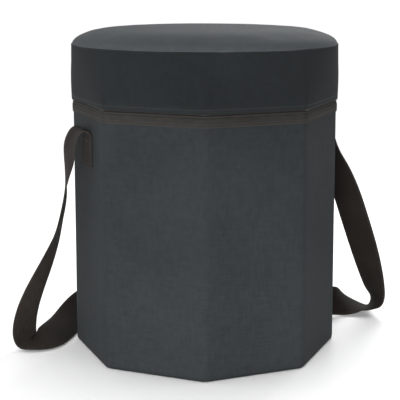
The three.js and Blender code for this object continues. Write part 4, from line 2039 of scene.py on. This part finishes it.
@dataclass(frozen=True)
class SoftBox:
    """A rectangular studio light."""

    name: str
    place: Triple
    aim: Triple
    size: Pair
    power: float
    tint: Colour = (1.0, 1.0, 1.0)

    def build(self) -> None:
        """Hangs the light."""
        lamp = bpy.data.lights.new(self.name, "AREA")
        lamp.shape = "RECTANGLE"
        lamp.size, lamp.size_y = self.size
        lamp.energy = self.power
        lamp.color = self.tint
        holder = hang(self.name, lamp)
        holder.location = self.place
        holder.rotation_mode = "QUATERNION"
        holder.rotation_quaternion = (Vector(self.aim) - Vector(self.place)).to_track_quat("-Z", "Y")


@dataclass
class Studio:
    """The pale floor, the soft light and the camera."""

    azimuth: float = math.radians(-22.5)
    distance: float = 1.4
    height: float = 0.46
    pitch: float = math.radians(8.51)
    lens: float = 103.4
    sensor: float = 36.0
    shift: Pair = (-0.0118, -0.145)
    sight: float = 100.0
    floor_reach: float = 30.0
    room_strength: float = 1.42
    room_light: tuple[Pair, ...] = ((0.0, 0.22), (0.62, 0.22), (0.75, 1.0), (1.0, 1.0))
    lights: tuple[SoftBox, ...] = (
        SoftBox("key_light", (-1.42, -2.05, 0.5), (0.0, 0.0, 0.15), (1.6, 0.8), 72.0),
        SoftBox("top_light", (0.75, 0.72, 0.85), (0.05, 0.02, 0.38), (0.5, 0.5), 8.5),
    )

    def camera(self) -> None:
        """Sets the camera at the picture's angle."""
        data = bpy.data.cameras.new("picture_camera")
        data.lens = self.lens
        data.sensor_width = self.sensor
        data.shift_x, data.shift_y = self.shift
        data.clip_end = self.sight
        holder = hang("picture_camera", data)
        holder.location = (
            math.sin(self.azimuth) * self.distance,
            -math.cos(self.azimuth) * self.distance,
            self.height,
        )
        holder.rotation_euler = (math.pi / 2 - self.pitch, 0.0, self.azimuth)
        bpy.context.scene.camera = holder

    def floor(self) -> None:
        """Lays the pale floor."""
        sketch = Sketch()
        reach = self.floor_reach
        corners = ((-reach, -reach), (reach, -reach), (reach, reach), (-reach, reach))
        sketch.face([sketch.point(Vector((x, y, 0.0)), (x, y)) for x, y in corners])
        finish = Grained(
            "pale_studio_floor", light=(0.97, 0.97, 0.97), dark=(0.955, 0.955, 0.955),
            scale=6.0, relief=0.05 * MM, roughness=(0.7, 0.8),
        )
        sketch.build("studio_floor", [finish.material()])

    def room(self) -> bpy.types.World:
        """Makes the room: white behind and overhead, dimmer in front and at the sides.

        Returns:
            The world.
        """
        world = bpy.data.worlds.new("white_room")
        world.use_nodes = True
        nodes = Nodes(world.node_tree)
        back_and_up = (level_direction(self.azimuth + math.pi / 2) + UP).normalized()
        towards = nodes.add("VectorMath", nodes.add("TexCoord"), back_and_up * 0.5, operation="DOT_PRODUCT",
                            out=nodes.PRODUCT)
        stops = ((place, (light, light, light)) for place, light in self.room_light)
        background = nodes.tree.nodes["Background"]
        nodes.put(background.inputs["Color"], nodes.ramp(nodes.calc("ADD", towards, 0.5), *stops))
        nodes.put(background.inputs["Strength"], self.room_strength)
        return world

    def build(self) -> None:
        """Sets up the studio."""
        scene = bpy.context.scene
        scene.view_settings.view_transform = "Standard"
        scene.world = self.room()
        self.floor()
        for light in self.lights:
            light.build()
        self.camera()


def write_sizes() -> None:
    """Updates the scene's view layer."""
    bpy.context.view_layer.update()


class Part(Protocol):
    """A group of pieces that builds itself."""

    def build(self) -> None:
        """Adds the pieces to the scene."""


def main() -> None:
    """Builds the stool, piece by piece, and the studio round it."""
    logging.basicConfig(level=logging.INFO, format="%(message)s")
    sizes = StoolSizes.from_frame()
    wardrobe = Wardrobe.stocked()
    Studio().build()
    parts: tuple[Part, ...] = (
        CarryStrap(sizes, wardrobe),
        Sleeve(sizes, wardrobe),
        ZipStrip(sizes, wardrobe),
        FoilLining(sizes, wardrobe),
        SoftFloor(sizes, wardrobe),
        Seat(sizes, wardrobe),
        LidUnderside(sizes, wardrobe),
        LidZip(sizes, wardrobe),
        ClothHinge(sizes, wardrobe),
    )
    for part in parts:
        part.build()
        log.info("finished %s", type(part).__name__)
    write_sizes()


if __name__ == "__main__":
    main()
